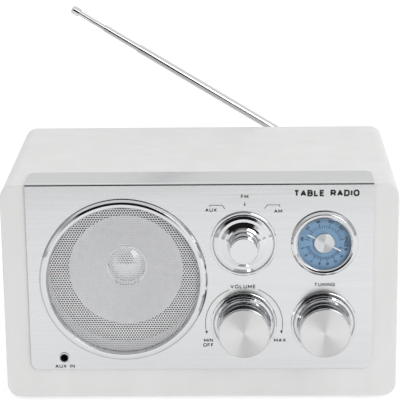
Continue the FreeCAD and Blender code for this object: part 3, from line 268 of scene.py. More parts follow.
def zinc_steel():
    look = Surface("zinc_steel", grey(0.55), metallic=1.0, roughness=0.35)
    look.tint(look.noise(2.5), (0.48, 0.50, 0.53), (0.62, 0.63, 0.64))
    look.polish(look.noise(1.2), 0.28, 0.45)
    return look.relief(look.noise(0.3, (1, 1, 6)), 0.01, 0.3)


def ferrite():
    look = Surface("ferrite", grey(0.05), roughness=0.55)
    look.tint(look.noise(0.6), grey(0.035), grey(0.075))
    return look.relief(look.noise(0.4), 0.05, 0.5)


def clear_lens():
    """Thin clear plastic that lets lamps through to the scale."""
    look = Surface("clear_lens", (0.98, 0.99, 1.0), roughness=0.02, IOR=1.3)
    look.shader.inputs["Transmission Weight"].default_value = 1.0
    look.relief(look.noise(8), 0.004, 0.1)
    path = look.add("ShaderNodeLightPath")
    clear = look.add("ShaderNodeBsdfTransparent")
    both = look.put(look.add("ShaderNodeMixShader"), {
        0: path.outputs["Is Shadow Ray"], 1: look.shader.outputs[0], 2: clear.outputs[0]})
    output = look.tree.nodes["Material Output"]
    look.put(output, {"Surface": both.outputs[0]})
    return look


def blue_scale():
    look = Surface("blue_scale", (0.13, 0.30, 0.55), roughness=0.35)
    look.tint(look.noise(5), (0.155, 0.305, 0.48), (0.185, 0.35, 0.53))
    return look.relief(look.noise(0.4), 0.01, 0.2)


def needle_paint():
    look = Surface("needle_paint", grey(0.9), roughness=0.4)
    look.tint(look.noise(0.5), grey(0.85), grey(0.92))
    return look.relief(look.noise(0.2), 0.01, 0.3)


def plastic(name, low, high, rough=0.45):
    """Moulded plastic with a fine spark-eroded texture."""
    look = Surface(name, low, roughness=rough)
    look.tint(look.noise(6), low, high)
    look.polish(look.noise(1.5), rough - 0.05, rough + 0.08)
    return look.relief(look.noise(0.25), 0.02, 0.35)


def board_green():
    look = Surface("board_green", (0.02, 0.12, 0.05), roughness=0.3)
    look.tint(look.noise(1.6, (1, 1, 4), rough=0.7), (0.012, 0.09, 0.04), (0.03, 0.17, 0.07), 0.47, 0.53)
    return look.relief(look.noise(1.6, (1, 1, 4)), 0.03, 0.4)


def copper():
    look = Surface("copper", (0.7, 0.3, 0.15), metallic=1.0, roughness=0.3)
    look.tint(look.noise(0.3, (12, 12, 1)), (0.45, 0.16, 0.07), (0.80, 0.36, 0.19))
    return look.relief(look.noise(0.3, (12, 12, 1)), 0.08, 0.7)


def nickel_brass():
    look = Surface("nickel_brass", (0.6, 0.57, 0.5), metallic=1.0, roughness=0.25)
    look.tint(look.noise(1), (0.55, 0.52, 0.45), (0.66, 0.64, 0.58))
    return look.relief(look.noise(0.3, (1, 6, 1)), 0.01, 0.3)


def ink(name, colour):
    """Screen-printed ink, with the slight unevenness of a thin layer."""
    look = Surface(name, colour, roughness=0.5)
    look.tint(look.noise(0.4), [0.7 * part for part in colour], [1.4 * part for part in colour])
    return look.relief(look.noise(0.15), 0.005, 0.3)


LOOKS = {
    "white_lacquer": white_lacquer(),
    "brushed_plate": brushed_plate(),
    "back_board": back_board(),
    "raw_wood": raw_wood(),
    "spun_aluminium": spun_aluminium(),
    "chrome": chrome(),
    "grille_metal": grille_metal(),
    "foot_rubber": rubber("foot_rubber", 0.03),
    "surround_rubber": rubber("surround_rubber", 0.015),
    "cone_paper": cone_paper(),
    "cap_metal": cap_metal(),
    "coil_former": coil_former(),
    "black_metal": black_metal(),
    "zinc_steel": zinc_steel(),
    "ferrite": ferrite(),
    "clear_lens": clear_lens(),
    "blue_scale": blue_scale(),
    "needle_paint": needle_paint(),
    "white_plastic": plastic("white_plastic", grey(0.74, 0.01), grey(0.80, 0.01)),
    "lamp_plastic": plastic("lamp_plastic", (0.6, 0.75, 0.9), (0.7, 0.85, 0.97), 0.2),
    "black_plastic": plastic("black_plastic", grey(0.022), grey(0.035)),
    "board_green": board_green(),
    "can_sleeve": plastic("can_sleeve", (0.010, 0.014, 0.07), (0.016, 0.024, 0.11), 0.3),
    "copper": copper(),
    "nickel_brass": nickel_brass(),
}
PRINT_BLACK = ink("print_black", (0.012, 0.012, 0.013))
PRINT_BLUE = ink("print_blue", (0.012, 0.035, 0.10))


# Ways of making a mesh; outlines are in millimetres and meshes in metres

def piece(name, mesh, body, look, slot, *stands_for, where=None):
    """Adds a finished mesh as a piece of the object."""
    made = bpy.data.objects.new(name, mesh)
    bpy.context.scene.collection.objects.link(made)
    if where is not None:
        made.matrix_world = where
    mesh.materials.append(look.material)
    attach(made, body)
    if stands_for:
        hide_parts(*stands_for)
    return made


def rounded(corners, steps=5):
    """An outline in millimetres with its corners rounded: each corner is x, y and a radius."""
    outline = []
    count = len(corners)
    for index, (x, y, radius) in enumerate(corners):
        here = Vector((x, y))
        if radius == 0:
            outline.append(here)
            continue
        back = (Vector(corners[index - 1][:2]) - here).normalized()
        ahead = (Vector(corners[(index + 1) % count][:2]) - here).normalized()
        half = back.angle(ahead) / 2
        centre = here + (back + ahead).normalized() * (radius / math.sin(half))
        first = here + back * (radius / math.tan(half)) - centre
        last = here + ahead * (radius / math.tan(half)) - centre
        turn = first.angle_signed(last)
        for step in range(steps + 1):
            outline.append(centre + Matrix.Rotation(-turn * step / steps, 2) @ first)
    return outline


def lathe(outline, around=128):
    """A closed surface of revolution about local Z from an outline of radius and height."""
    form = bmesh.new()
    rows = []
    for radius, height in outline:
        if radius < 1e-6:
            rows.append([form.verts.new((0, 0, height * MM))])
            continue
        rows.append([
            form.verts.new((radius * MM * math.cos(angle), radius * MM * math.sin(angle), height * MM))
            for angle in (2 * math.pi * step / around for step in range(around))
        ])
    for index, row in enumerate(rows):
        following = rows[(index + 1) % len(rows)]
        if len(row) == 1 and len(following) == 1:
            continue
        for step in range(around):
            beside = (step + 1) % around
            ring = [row[step % len(row)], row[beside % len(row)],
                    following[beside % len(following)], following[step % len(following)]]
            corners = list(dict.fromkeys(ring))
            form.faces.new(corners)
    return finished(form)


def finished(form, sharp=40):
    """A mesh from a bmesh, with outward faces and smooth shading up to an edge angle."""
    bmesh.ops.recalc_face_normals(form, faces=form.faces)
    mesh = bpy.data.meshes.new("mesh")
    form.to_mesh(mesh)
    form.free()
    mesh.shade_smooth()
    mesh.set_sharp_from_angle(angle=math.radians(sharp))
    return mesh


def even_shading(made):
    """Keeps flat stretches flat between the small rounded edges."""
    made.modifiers.new("even_shading", "WEIGHTED_NORMAL").keep_sharp = True
    return made


def turned(name, node, body, slot, outline, around, depth=PLATE_FRONT):
    """A lathe-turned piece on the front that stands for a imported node."""
    where = on_front(node, depth)
    return even_shading(piece(name, lathe(outline, around), body, LOOKS[slot], slot, node, where=where))


def joined(meshes):
    """One mesh from several pairs of mesh and matrix."""
    form = bmesh.new()
    for mesh, matrix in meshes:
        part = mesh.copy()
        part.transform(matrix)
        form.from_mesh(part)
        bpy.data.meshes.remove(part)
    mesh = bpy.data.meshes.new("mesh")
    form.to_mesh(mesh)
    form.free()
    return mesh


def slab(outline, thickness):
    """A flat solid on local Z = 0 from an outline of x and y."""
    form = bmesh.new()
    floor = [form.verts.new((x * MM, y * MM, 0)) for x, y in outline]
    lid = [form.verts.new((x * MM, y * MM, thickness * MM)) for x, y in outline]
    form.faces.new(floor)
    form.faces.new(lid)
    for index in range(len(outline)):
        after = (index + 1) % len(outline)
        form.faces.new((floor[index], floor[after], lid[after], lid[index]))
    return finished(form)


def stroke(points, width, thickness):
    """A printed line of even width along points; sharp bends are cut off square on the outside."""
    spots = [Vector(point) for point in points]
    ways = [(after - before).normalized() for before, after in zip(spots, spots[1:])]
    left, right = [], []
    for index, spot in enumerate(spots):
        into = ways[max(index - 1, 0)]
        out = ways[min(index, len(ways) - 1)]
        bisector = (into + out).normalized()
        lean = bisector.dot(into)
        side = Vector((-bisector.y, bisector.x)) * (width / 2 / lean)
        turn = into.cross(out)
        square = [Vector((-way.y, way.x)) * (width / 2) for way in (into, out)]
        left += [spot + each for each in (square if lean < 0.7 and turn < 0 else [side])]
        right += [spot - each for each in (square if lean < 0.7 and turn > 0 else [side])]
    return slab(left + right[::-1], thickness)


def arc(radius, start, end, steps):
    """Points on a circle about zero, between two angles in degrees."""
    angles = [math.radians(start + (end - start) * step / steps) for step in range(steps + 1)]
    return [(radius * math.cos(angle), radius * math.sin(angle)) for angle in angles]


# Plain stroke letters and digits: width, then the lines of each, on a field one unit high
GLYPHS = {
    " ": (0.4, []),
    "A": (0.8, [[(0, 0), (0.4, 1), (0.8, 0)], [(0.13, 0.3), (0.67, 0.3)]]),
    "B": (0.7, [[(0, 0.53), (0, 1), (0.5, 1), (0.65, 0.87), (0.65, 0.66), (0.5, 0.53), (0, 0.53)],
                [(0.5, 0.53), (0.7, 0.38), (0.7, 0.14), (0.54, 0), (0, 0), (0, 0.53)]]),
    "D": (0.75, [[(0, 0.5), (0, 1), (0.5, 1), (0.75, 0.78), (0.75, 0.22), (0.5, 0), (0, 0), (0, 0.5)]]),
    "E": (0.62, [[(0.62, 1), (0, 1), (0, 0), (0.62, 0)], [(0, 0.52), (0.55, 0.52)]]),
    "F": (0.6, [[(0.6, 1), (0, 1), (0, 0)], [(0, 0.5), (0.52, 0.5)]]),
    "G": (0.78, [[(0.76, 0.82), (0.58, 1), (0.2, 1), (0, 0.78), (0, 0.22), (0.2, 0), (0.56, 0),
                  (0.76, 0.18), (0.76, 0.46), (0.44, 0.46)]]),
    "I": (0.0, [[(0, 0), (0, 1)]]),
    "L": (0.58, [[(0, 1), (0, 0), (0.58, 0)]]),
    "M": (0.9, [[(0, 0), (0, 1), (0.45, 0.2), (0.9, 1), (0.9, 0)]]),
    "N": (0.75, [[(0, 0), (0, 1), (0.75, 0), (0.75, 1)]]),
    "O": (0.8, [[(0.4, 0), (0.2, 0), (0, 0.22), (0, 0.78), (0.2, 1), (0.6, 1), (0.8, 0.78), (0.8, 0.22),
                 (0.6, 0), (0.4, 0)]]),
    "R": (0.72, [[(0, 0), (0, 1), (0.52, 1), (0.7, 0.86), (0.7, 0.6), (0.52, 0.46), (0, 0.46)],
                 [(0.42, 0.46), (0.72, 0)]]),
    "T": (0.7, [[(0, 1), (0.7, 1)], [(0.35, 1), (0.35, 0)]]),
    "U": (0.74, [[(0, 1), (0, 0.22), (0.2, 0), (0.54, 0), (0.74, 0.22), (0.74, 1)]]),
    "V": (0.8, [[(0, 1), (0.4, 0), (0.8, 1)]]),
    "X": (0.75, [[(0, 0), (0.75, 1)], [(0, 1), (0.75, 0)]]),
    "0": (0.55, [[(0.28, 0), (0.12, 0), (0, 0.2), (0, 0.8), (0.12, 1), (0.43, 1), (0.55, 0.8), (0.55, 0.2),
                  (0.43, 0), (0.28, 0)]]),
    "1": (0.2, [[(0, 0.8), (0.2, 1), (0.2, 0)]]),
    "2": (0.55, [[(0, 0.8), (0.14, 1), (0.42, 1), (0.55, 0.82), (0.55, 0.62), (0, 0), (0.55, 0)]]),
    "4": (0.6, [[(0.45, 0), (0.45, 1), (0, 0.3), (0.6, 0.3)]]),
    "5": (0.55, [[(0.52, 1), (0.05, 1), (0, 0.55), (0.4, 0.6), (0.55, 0.42), (0.55, 0.18), (0.4, 0),
                  (0, 0)]]),
    "6": (0.55, [[(0.5, 1), (0.2, 1), (0, 0.7), (0, 0.2), (0.13, 0), (0.42, 0), (0.55, 0.18), (0.55, 0.4),
                  (0.42, 0.56), (0, 0.5)]]),
    "7": (0.55, [[(0, 1), (0.55, 1), (0.2, 0)]]),
    "8": (0.55, [[(0.28, 0.54), (0.1, 0.62), (0.05, 0.86), (0.16, 1), (0.4, 1), (0.5, 0.86), (0.45, 0.62),
                  (0.28, 0.54), (0.05, 0.42), (0, 0.16), (0.14, 0), (0.42, 0), (0.55, 0.16), (0.5, 0.42),
                  (0.28, 0.54)]]),
    "9": (0.55, [[(0.05, 0), (0.35, 0), (0.55, 0.3), (0.55, 0.8), (0.42, 1), (0.13, 1), (0, 0.82),
                  (0, 0.6), (0.13, 0.44), (0.55, 0.5)]]),
}


def lettering(text, height, width, thickness, gap=0.28, wide=1.0):
    """Solid letters about zero: a height, a line width and a gap that is a share of the height."""
    parts = []
    total = sum(GLYPHS[letter][0] + gap for letter in text) - gap
    start = -total / 2
    body = height - width
    for letter in text:
        advance, lines = GLYPHS[letter]
        for line in lines:
            spots = [((start + x) * body * wide, (y - 0.5) * body) for x, y in line]
            parts.append((stroke(spots, width, thickness), Matrix.Identity(4)))
        start += advance + gap
    return joined(parts)


# Speaker

def speaker_bezel():
    """A steep inner lip, a nearly flat band and a bevel that falls towards the plate."""
    inner = 40.2
    outer = radius_of("speaker_bezel")
    proud = proud_of("speaker_bezel")
    spigot_gauge, spigot_depth = 1.6, 0.2
    lip_foot, lip_run, lip_drop = 0.9, 0.8, 0.2
    bevel_run, bevel_drop = 1.0, 0.45
    band_end, side_drop = 2.2, 1.75
    outline = rounded([
        (inner, -spigot_depth, 0),
        (inner, lip_foot, 0.3),
        (inner + lip_run, proud - lip_drop, 0.4),
        (outer - band_end, proud, 0.5),
        (outer - bevel_run, proud - bevel_drop, 0.4),
        (outer, proud - side_drop, 0.5),
        (outer, 0, 0),
        (inner + spigot_gauge, 0, 0),
        (inner + spigot_gauge, -spigot_depth, 0),
    ], 7)
    turned("speaker_trim_ring", "speaker_bezel", "cabinet", "chrome", outline, 192)


def dust_cap():
    """A smooth bright dome with a thin turned-out skirt, glued to the cone."""
    skin, skirt_width, skirt_low, skirt_high = 0.2, 1.0, 0.1, 0.35
    skirt = radius_of("dust_cap")
    dome = skirt - skirt_width
    rise = depth_of("dust_cap") - skin
    ball = (dome ** 2 + rise ** 2) / (2 * rise)
    steps = 12
    outer = []
    for step in range(steps + 1):
        radius = dome * step / steps
        outer.append((radius, math.sqrt(ball ** 2 - radius ** 2) - ball + rise + skin))
    inner = [(radius, height - skin) for radius, height in outer[:-1]]
    outline = outer + [(skirt, skirt_high), (skirt, skirt_low), (dome, 0)] + inner[::-1]
    turned("dust_cap_dome", "dust_cap", "cabinet", "cap_metal", outline, 96, back_of("dust_cap"))


def speaker_cone():
    """A gently flared cone with a fine stiffening ring near its neck."""
    neck, foot, paper, steps = 10.3, 0.6, 0.5, 16
    reach = radius_of("speaker_cone") - 0.3
    rise = depth_of("speaker_cone") - 0.7
    straight, flared = 0.8, 0.2
    ridge_radius, ridge_width, ridge_height = 14.5, 0.5, 0.25
    face = []
    for step in range(steps + 1):
        share = step / steps
        radius = neck + (reach - neck) * share
        ridge = ridge_height * math.exp(-((radius - ridge_radius) / ridge_width) ** 2)
        face.append((radius, foot + rise * (straight * share + flared * share ** 2) + ridge))
    back = [(radius, height - paper) for radius, height in face]
    piece("speaker_cone_paper", lathe(face + back[::-1], 128), "cabinet", LOOKS["cone_paper"],
          "cone_paper", "speaker_cone", where=on_front("speaker_cone", back_of("speaker_cone")))


def hole_sheet(reach, pitch, hole, gauge):
    """A round sheet of hexagonal cells, each with a round hole, as punched metal has."""
    form = bmesh.new()
    sides = 6
    points = 2 * sides
    side = pitch / math.sqrt(3)
    row_step = pitch * math.sqrt(3) / 2
    rows = int(reach / row_step) + 1
    columns = int(reach / pitch) + 1
    shared = {}

    def key(x, y, level):
        """A cell corner's place on a grid fine enough to tell the corners apart."""
        return round(x / side * 4), round(y / side * 4), level

    def corner(x, y, level):
        spot = key(x, y, level)
        if spot not in shared:
            shared[spot] = form.verts.new((x * MM, y * MM, level * MM))
        return shared[spot]

    def ring(x, y, radius, count):
        """Places round a cell's middle, the first of them half a step on from local X."""
        for angle in (2 * math.pi * (index + 0.5) / count for index in range(count)):
            yield x + radius * math.cos(angle), y + radius * math.sin(angle)

    for row in range(-rows, rows + 1):
        shift = pitch / 2 if row % 2 else 0
        for column in range(-columns, columns + 1):
            x, y = column * pitch + shift, row * row_step
            if math.hypot(x, y) > reach - side:
                continue
            walls = []
            for level in (0, gauge):
                hexagon = [corner(across, up, level) for across, up in ring(x, y, side, sides)]
                rim = [form.verts.new((across * MM, up * MM, level * MM))
                       for across, up in ring(x, y, hole, points)]
                for index in range(sides):
                    after = (index + 1) % sides
                    form.faces.new((hexagon[index], rim[2 * index], rim[2 * index + 1]))
                    form.faces.new((hexagon[index], rim[2 * index + 1], rim[(2 * index + 2) % points],
                                    hexagon[after]))
                walls.append(rim)
            for index in range(points):
                after = (index + 1) % points
                form.faces.new((walls[0][index], walls[0][after], walls[1][after], walls[1][index]))
    for edge in [edge for edge in form.edges if len(edge.link_faces) == 1]:
        below = [vert for vert in edge.verts if vert.co.z < gauge * MM / 2]
        if len(below) == 2:
            above = [shared[key(vert.co.x / MM, vert.co.y / MM, gauge)] for vert in below]
            form.faces.new((below[0], below[1], above[1], above[0]))
    return finished(form)


def speaker_grille():
    gauge = 0.45
    sheet = hole_sheet(radius_of("speaker_grille"), pitch=1.385, hole=0.53, gauge=gauge)
    piece("perforated_grille", sheet, "cabinet", LOOKS["grille_metal"], "grille_metal", "speaker_grille",
          where=on_front("speaker_grille", front_of("speaker_grille") + gauge * MM))


# Knobs and rings

def round_knob(name, node, body):
    """Wide foot, deep cove and slightly tapered chrome side round the spun cap's seat."""
    foot = radius_of(node)
    proud = proud_of(node) + 0.1
    gap, flange_top = 0.3, 1.1
    cove_run, cove_foot, cove_top = 1.2, 1.6, 3.0
    rim = foot - 1.8
    seat = rim - 0.55
    seat_depth = 1.1
    inside, roof = rim - 1.8, 12.6
    hub, hub_foot = 5.5, 0.9
    bore, bore_top = 3.0, 12.0
    outline = rounded([
        (bore, hub_foot, 0),
        (hub, hub_foot, 0.2),
        (hub, roof, 0),
        (inside, roof, 0),
        (inside, gap, 0.1),
        (foot, gap, 0.1),
        (foot, flange_top, 0.3),
        (foot - cove_run, cove_foot, 0.4),
        (foot - cove_run - 0.4, cove_top, 1.0),
        (rim, proud - 0.3, 0.6),
        (seat, proud - 0.2, 0.1),
        (seat, proud - seat_depth, 0),
        (0, proud - seat_depth, 0),
        (0, bore_top, 0),
        (bore, bore_top, 0),
    ], 6)
    turned(name, node, body, "chrome", outline, 160)


def spun_cap(name, node, body):
    """Shallow dished disc with a fine bevelled edge."""
    radius = radius_of(node)
    gauge = depth_of(node)
    bevel, bevel_dish, dish = 0.9, 0.06, 0.05
    outline = rounded([
        (0, 0, 0),
        (radius, 0, 0),
        (radius, gauge, 0.18),
        (radius - bevel, gauge - bevel_dish, 0.1),
        (0, gauge - dish, 0),
    ], 4)
    turned(name, node, body, "spun_aluminium", outline, 160, back_of(node))


def selector_knob():
    """A wide foot with two sloping steps and a terrace after each, round a plain post."""
    foot = radius_of("selector_knob")
    proud = proud_of("selector_knob")
    gap, flange_top = 0.3, 1.1
    first_step, first_top = 1.7, 1.72
    second_foot, second_foot_height = 3.3, 1.8
    second_step, second_top = 5.1, 2.45
    collar, collar_foot, collar_top = 9.5, 2.55, 3.2
    post_foot, post = 8.3, 7.4
    bore, bore_top = 3.0, 10.0
    outline = rounded([
        (bore, gap, 0),
        (foot, gap, 0.1),
        (foot, flange_top, 0.3),
        (foot - first_step, first_top, 0.35),
        (foot - second_foot, second_foot_height, 0.25),
        (foot - second_step, second_top, 0.35),
        (collar, collar_foot, 0.2),
        (post_foot, collar_top, 0.5),
        (post, proud, 0.8),
        (0, proud, 0),
        (0, bore_top, 0),
        (bore, bore_top, 0),
    ], 6)
    turned("selector_dial_knob", "selector_knob", "selector", "chrome", outline, 160)


def trim_rings():
    """The three flat chrome rings round the knobs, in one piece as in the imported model."""
    inner, outer, proud = 15.9, 17.6, 1.0
    outer_bevel, inner_bevel = 0.5, 0.5
    outline = rounded([
        (inner, 0, 0),
        (outer, 0, 0),
        (outer, proud - 0.25, 0.25),
        (outer - outer_bevel, proud, 0.25),
        (inner + inner_bevel, proud, 0.2),
        (inner, proud - inner_bevel, 0.1),
    ], 4)
    ring = lathe(outline, 160)
    rings = joined([(ring, on_front(node)) for node in ("volume_knob", "selector_knob", "tuning_knob")])
    rings.set_sharp_from_angle(angle=math.radians(40))
    even_shading(piece("knob_trim_rings", rings, "cabinet", LOOKS["chrome"], "chrome", "knob_rings"))


# Dial

def dial_bezel():
    """A domed ring with a recess behind it for the lens."""
    outer = radius_of("dial_bezel")
    proud = proud_of("dial_bezel")
    window, recess, recess_depth = 14.2, 15.3, 1.4
    side, crown_run = 1.3, 1.5
    lip, lip_drop, window_drop = 14.9, 0.4, 1.2
    outline = rounded([
        (recess, 0, 0),
        (outer, 0, 0),
        (outer, side, 0.9),
        (outer - crown_run, proud, 0.9),
        (lip, proud - lip_drop, 0.5),
        (window, proud - window_drop, 0.2),
        (window, recess_depth, 0),
        (recess, recess_depth, 0),
    ], 7)
    turned("dial_trim_ring", "dial_bezel", "cabinet", "chrome", outline, 160)


def dial_boss():
    """The spun cap in the middle of the dial, bored from behind for the spindle."""
    radius = radius_of("dial_boss")
    gauge, dish = 0.8, 0.08
    bore, bore_depth = 1.5, 0.4
    outline = rounded([
        (bore, 0, 0),
        (radius, 0, 0),
        (radius, gauge, 0.2),
        (0, gauge - dish, 0),
        (0, bore_depth, 0),
        (bore, bore_depth, 0),
    ], 4)
    turned("dial_boss_cap", "dial_boss", "dial", "spun_aluminium", outline, 96, back_of("dial_boss"))


def radial(mesh, radius, angle):
    """Pairs a mesh with the matrix that stands it outwards on a ring at an angle in degrees."""
    turn = Matrix.Rotation(math.radians(angle - 90), 4, "Z")
    return mesh, turn @ Matrix.Translation((0, radius * MM, 0))


def dial_marks():
    """Ticks and plain numbers for two wave bands, printed on the blue disc."""
    foot, number_ring = 7.9, 11.9
    parts = []

    def number(value, angle):
        parts.append(radial(lettering(str(value), 1.6, 0.36, INK_GAUGE, 0.35), number_ring, angle))

    def tick(start, end, angle, width):
        reach = end - start
        mark = slab([(-width / 2, 0), (width / 2, 0), (width / 2, reach), (-width / 2, reach)], INK_GAUGE)
        parts.append(radial(mark, start, angle))

    def long_tick(angle):
        tick(foot, 10.5, angle, 0.45)

    def short_tick(angle):
        tick(foot, 9.6, angle, 0.34)

    upper_low, upper_high, upper_start, upper_step = 88, 108, 170, 8
    for value in range(upper_low, upper_high + 1):
        angle = upper_start - (value - upper_low) * upper_step
        if value % 4 == 0:
            long_tick(angle)
            number(value, angle)
        else:
            short_tick(angle)
    lower_band = [5, 6, 7, 8, 10, 12, 14, 16]
    lower_start, lower_step, between = 195, 21, 4
    for index, value in enumerate(lower_band):
        angle = lower_start + index * lower_step
        long_tick(angle)
        number(value, angle)
        if index < len(lower_band) - 1:
            for part in range(1, between):
                short_tick(angle + lower_step * part / between)
    end_marks, end_start, end_step = 5, -10, 3
    for index in range(end_marks):
        tick(10.6, 13.2, end_start + end_step * index, 0.4)
    piece("dial_marks", joined(parts), "cabinet", PRINT_BLUE, "blue_scale",
          where=on_front("dial_scale", front_of("dial_scale")))


# Printing on the plate

def plate_printing():
    """The names of the controls and the lines round them, in thin solid ink on the plate."""
    parts = []
    volume, selector = middle("volume_knob"), middle("selector_knob")
    tuning, dial = middle("tuning_knob"), middle("dial_bezel")
    jack = middle("aux_nut")

    def spot(mesh, centre, across=0.0, up=0.0):
        place = Matrix.Translation((centre.x + across * MM, PLATE_FRONT, centre.z + up * MM))
        parts.append((mesh, place @ FRONT))

    def word(text, centre, across, up, height=2.05, width=0.42, gap=0.42, wide=1.12):
        spot(lettering(text, height, width, INK_GAUGE, gap, wide), centre, across, up)

    def arrow(centre, across, up, half_width, length):
        """A solid arrowhead that points down."""
        head = [(-half_width, length / 2), (half_width, length / 2), (0, -length / 2)]
        spot(slab(head, INK_GAUGE), centre, across, up)

    word("TABLE RADIO", dial, 1.0, 27.5, height=3.6, width=0.95, gap=0.5, wide=1.06)
    word("FM", selector, 0.7, 25.9)
    word("AUX", selector, -17.0, 18.6)
    word("AM", selector, 18.2, 17.8)
    word("VOLUME", volume, -0.4, 20.9, gap=0.54)
    word("TUNING", tuning, 0.2, 21.8)
    word("MIN", volume, -19.1, -9.4)
    word("OFF", volume, -19.1, -12.1)
    word("MAX", volume, 19.2, -9.5)
    word("AUX IN", jack, 0.2, -4.9)

    line = 0.32
    spot(stroke([(0, 21.4), (0, 22.9)], line, INK_GAUGE), selector, 0.7)
    arrow(selector, 0.7, 21.1, 0.6, 1.2)
    swing_radius, swing_start, swing_end = 20.6, 22, 104
    for side in (-1, 1):
        bracket = [(side * 18.3, 20.2), (side * 18.3, 21.2), (side * 11.8, 21.2), (side * 10.4, 19.2)]
        spot(stroke(bracket, line, INK_GAUGE), selector, 0.7)
        swing = arc(swing_radius, 90 - side * swing_start, 90 - side * swing_end, 40)
        spot(stroke(swing, line, INK_GAUGE), volume)
        arrow(volume, *swing[-1], 0.75, 1.8)
    piece("plate_printing", joined(parts), "cabinet", PRINT_BLACK, "black_plastic")


# Scene

def stage_floor():
    """A wide pale table top, lit evenly so that it stays plain; it ends a little way in front."""
    floor = Surface("studio_floor", grey(0.72), roughness=0.9)
    floor.tint(floor.noise(400), grey(0.715), grey(0.725))
    floor.shader.inputs["Emission Color"].default_value = (1, 1, 1, 1)
    floor.shader.inputs["Emission Strength"].default_value = 0.45
    half_width, half_depth, front_edge = 4.0, 3.0, -0.62
    size = Matrix.Diagonal((half_width, half_depth, 1, 1))
    place = Matrix.Translation((0, front_edge + half_depth, 0)) @ size
    form = bmesh.new()
    bmesh.ops.create_grid(form, x_segments=8, y_segments=8, size=1.0, matrix=place)
    mesh = finished(form)
    mesh.materials.append(floor.material)
    sheet = bpy.data.objects.new("studio_floor", mesh)
    bpy.context.scene.collection.objects.link(sheet)


def direction(azimuth, elevation):
    """A unit vector; azimuth 0 points to the front and positive azimuths to the right."""
    turn, rise = math.radians(azimuth), math.radians(elevation)
    return Vector((math.sin(turn) * math.cos(rise), -math.cos(turn) * math.cos(rise), math.sin(rise)))


# The studio round the radio: an even grey with bright and dark patches, never below the darkest level
STUDIO_GREY = 0.58
STUDIO_DARKEST = 0.015
# Each patch: azimuth, elevation, radius and soft edge in degrees, and the light it adds
STUDIO_PATCHES = [
    (0, 90, 40, 25, 0.35),  # ceiling
    (180, 15, 50, 25, 0.28),  # behind
    (-6, 22, 29, 8, -0.565),  # camera side
    (-6, -30, 24, 10, -0.565),  # below the table's edge
    (40, 14, 16, 5, 0.7),  # right softbox
    (-44, 12, 12, 5, 0.5),  # left softbox
]


def studio_world():
    """Light from the patches for the radio, and plain white behind it for the camera."""
    world = bpy.data.worlds.new("studio")
    bpy.context.scene.world = world
    world.use_nodes = True
    tree = world.node_tree
    background = tree.nodes["Background"]
    coordinates = tree.nodes.new("ShaderNodeTexCoord")
    total = None
    for azimuth, elevation, radius, edge, strength in STUDIO_PATCHES:
        dot = tree.nodes.new("ShaderNodeVectorMath")
        dot.operation = "DOT_PRODUCT"
        tree.links.new(coordinates.outputs["Generated"], dot.inputs[0])
        dot.inputs[1].default_value = direction(azimuth, elevation)
        patch = tree.nodes.new("ShaderNodeMapRange")
        patch.interpolation_type = "SMOOTHSTEP"
        tree.links.new(dot.outputs["Value"], patch.inputs["Value"])
        patch.inputs["From Min"].default_value = math.cos(math.radians(radius + edge))
        patch.inputs["From Max"].default_value = math.cos(math.radians(radius))
        patch.inputs["To Max"].default_value = strength
        added = tree.nodes.new("ShaderNodeMath")
        added.inputs[1].default_value = STUDIO_GREY
        if total is not None:
            tree.links.new(total, added.inputs[1])
        tree.links.new(patch.outputs[0], added.inputs[0])
        total = added.outputs[0]
    limited = tree.nodes.new("ShaderNodeMath")
    limited.operation = "MAXIMUM"
    limited.inputs[1].default_value = STUDIO_DARKEST
    tree.links.new(total, limited.inputs[0])
    path = tree.nodes.new("ShaderNodeLightPath")
    shown = tree.nodes.new("ShaderNodeMix")
    tree.links.new(path.outputs["Is Camera Ray"], shown.inputs["Factor"])
    tree.links.new(limited.outputs[0], shown.inputs["A"])
    shown.inputs["B"].default_value = 1.0
    tree.links.new(shown.outputs["Result"], background.inputs["Color"])


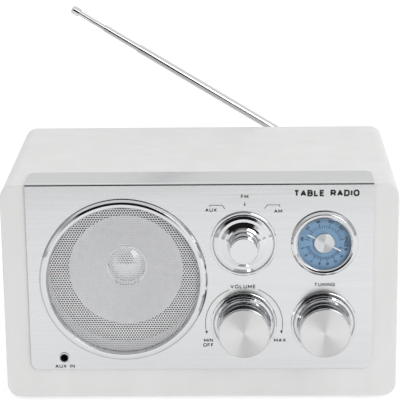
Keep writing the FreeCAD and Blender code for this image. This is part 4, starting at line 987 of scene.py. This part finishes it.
def key_light():
    """A large softbox at the upper right that gives the soft shadows towards the left."""
    azimuth, elevation, distance = 36, 34, 1.3
    lamp = bpy.data.lights.new("key_softbox", "AREA")
    lamp.shape = "RECTANGLE"
    lamp.size = 0.7
    lamp.size_y = 0.5
    lamp.energy = 4.0
    holder = bpy.data.objects.new("key_softbox", lamp)
    bpy.context.scene.collection.objects.link(holder)
    holder.location = direction(azimuth, elevation) * distance
    holder.rotation_mode = "QUATERNION"
    holder.rotation_quaternion = holder.location.to_track_quat("Z", "Y")
    holder.visible_camera = False


def camera():
    """The photograph's view: from slightly above, a little right of the middle."""
    pitch, yaw, roll = 0.2835, -0.0226, -0.0125
    place = Vector((21.04, -971.96, 377.98)) * MM
    ahead = Vector((math.sin(yaw) * math.cos(pitch), math.cos(yaw) * math.cos(pitch), -math.sin(pitch)))
    right = Vector((math.cos(yaw), -math.sin(yaw), 0))
    above = right.cross(ahead)
    across = math.cos(roll) * right + math.sin(roll) * above
    upward = math.cos(roll) * above - math.sin(roll) * right
    data = bpy.data.cameras.new("camera")
    data.sensor_width = 36.0
    data.lens = 162.57
    data.clip_start = 0.05
    data.clip_end = 20.0
    holder = bpy.data.objects.new("camera", data)
    bpy.context.scene.collection.objects.link(holder)
    axes = Matrix((across, upward, -ahead)).transposed().to_4x4()
    holder.matrix_world = Matrix.Translation(place) @ axes
    bpy.context.scene.camera = holder


def finish_cad_nodes():
    """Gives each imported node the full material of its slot."""
    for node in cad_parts.values():
        for holder in node.material_slots:
            holder.material = LOOKS[holder.material.name.split(".")[0]].material


def main():
    finish_cad_nodes()
    speaker_bezel()
    speaker_grille()
    speaker_cone()
    dust_cap()
    round_knob("volume_knob_chrome", "volume_knob", "volume")
    round_knob("tuning_knob_chrome", "tuning_knob", "tuning")
    spun_cap("volume_spun_cap", "volume_cap", "volume")
    spun_cap("tuning_spun_cap", "tuning_cap", "tuning")
    selector_knob()
    trim_rings()
    dial_bezel()
    dial_boss()
    dial_marks()
    plate_printing()
    stage_floor()
    studio_world()
    key_light()
    camera()
    bpy.context.scene.view_settings.view_transform = "Standard"
    bpy.context.view_layer.update()


main()
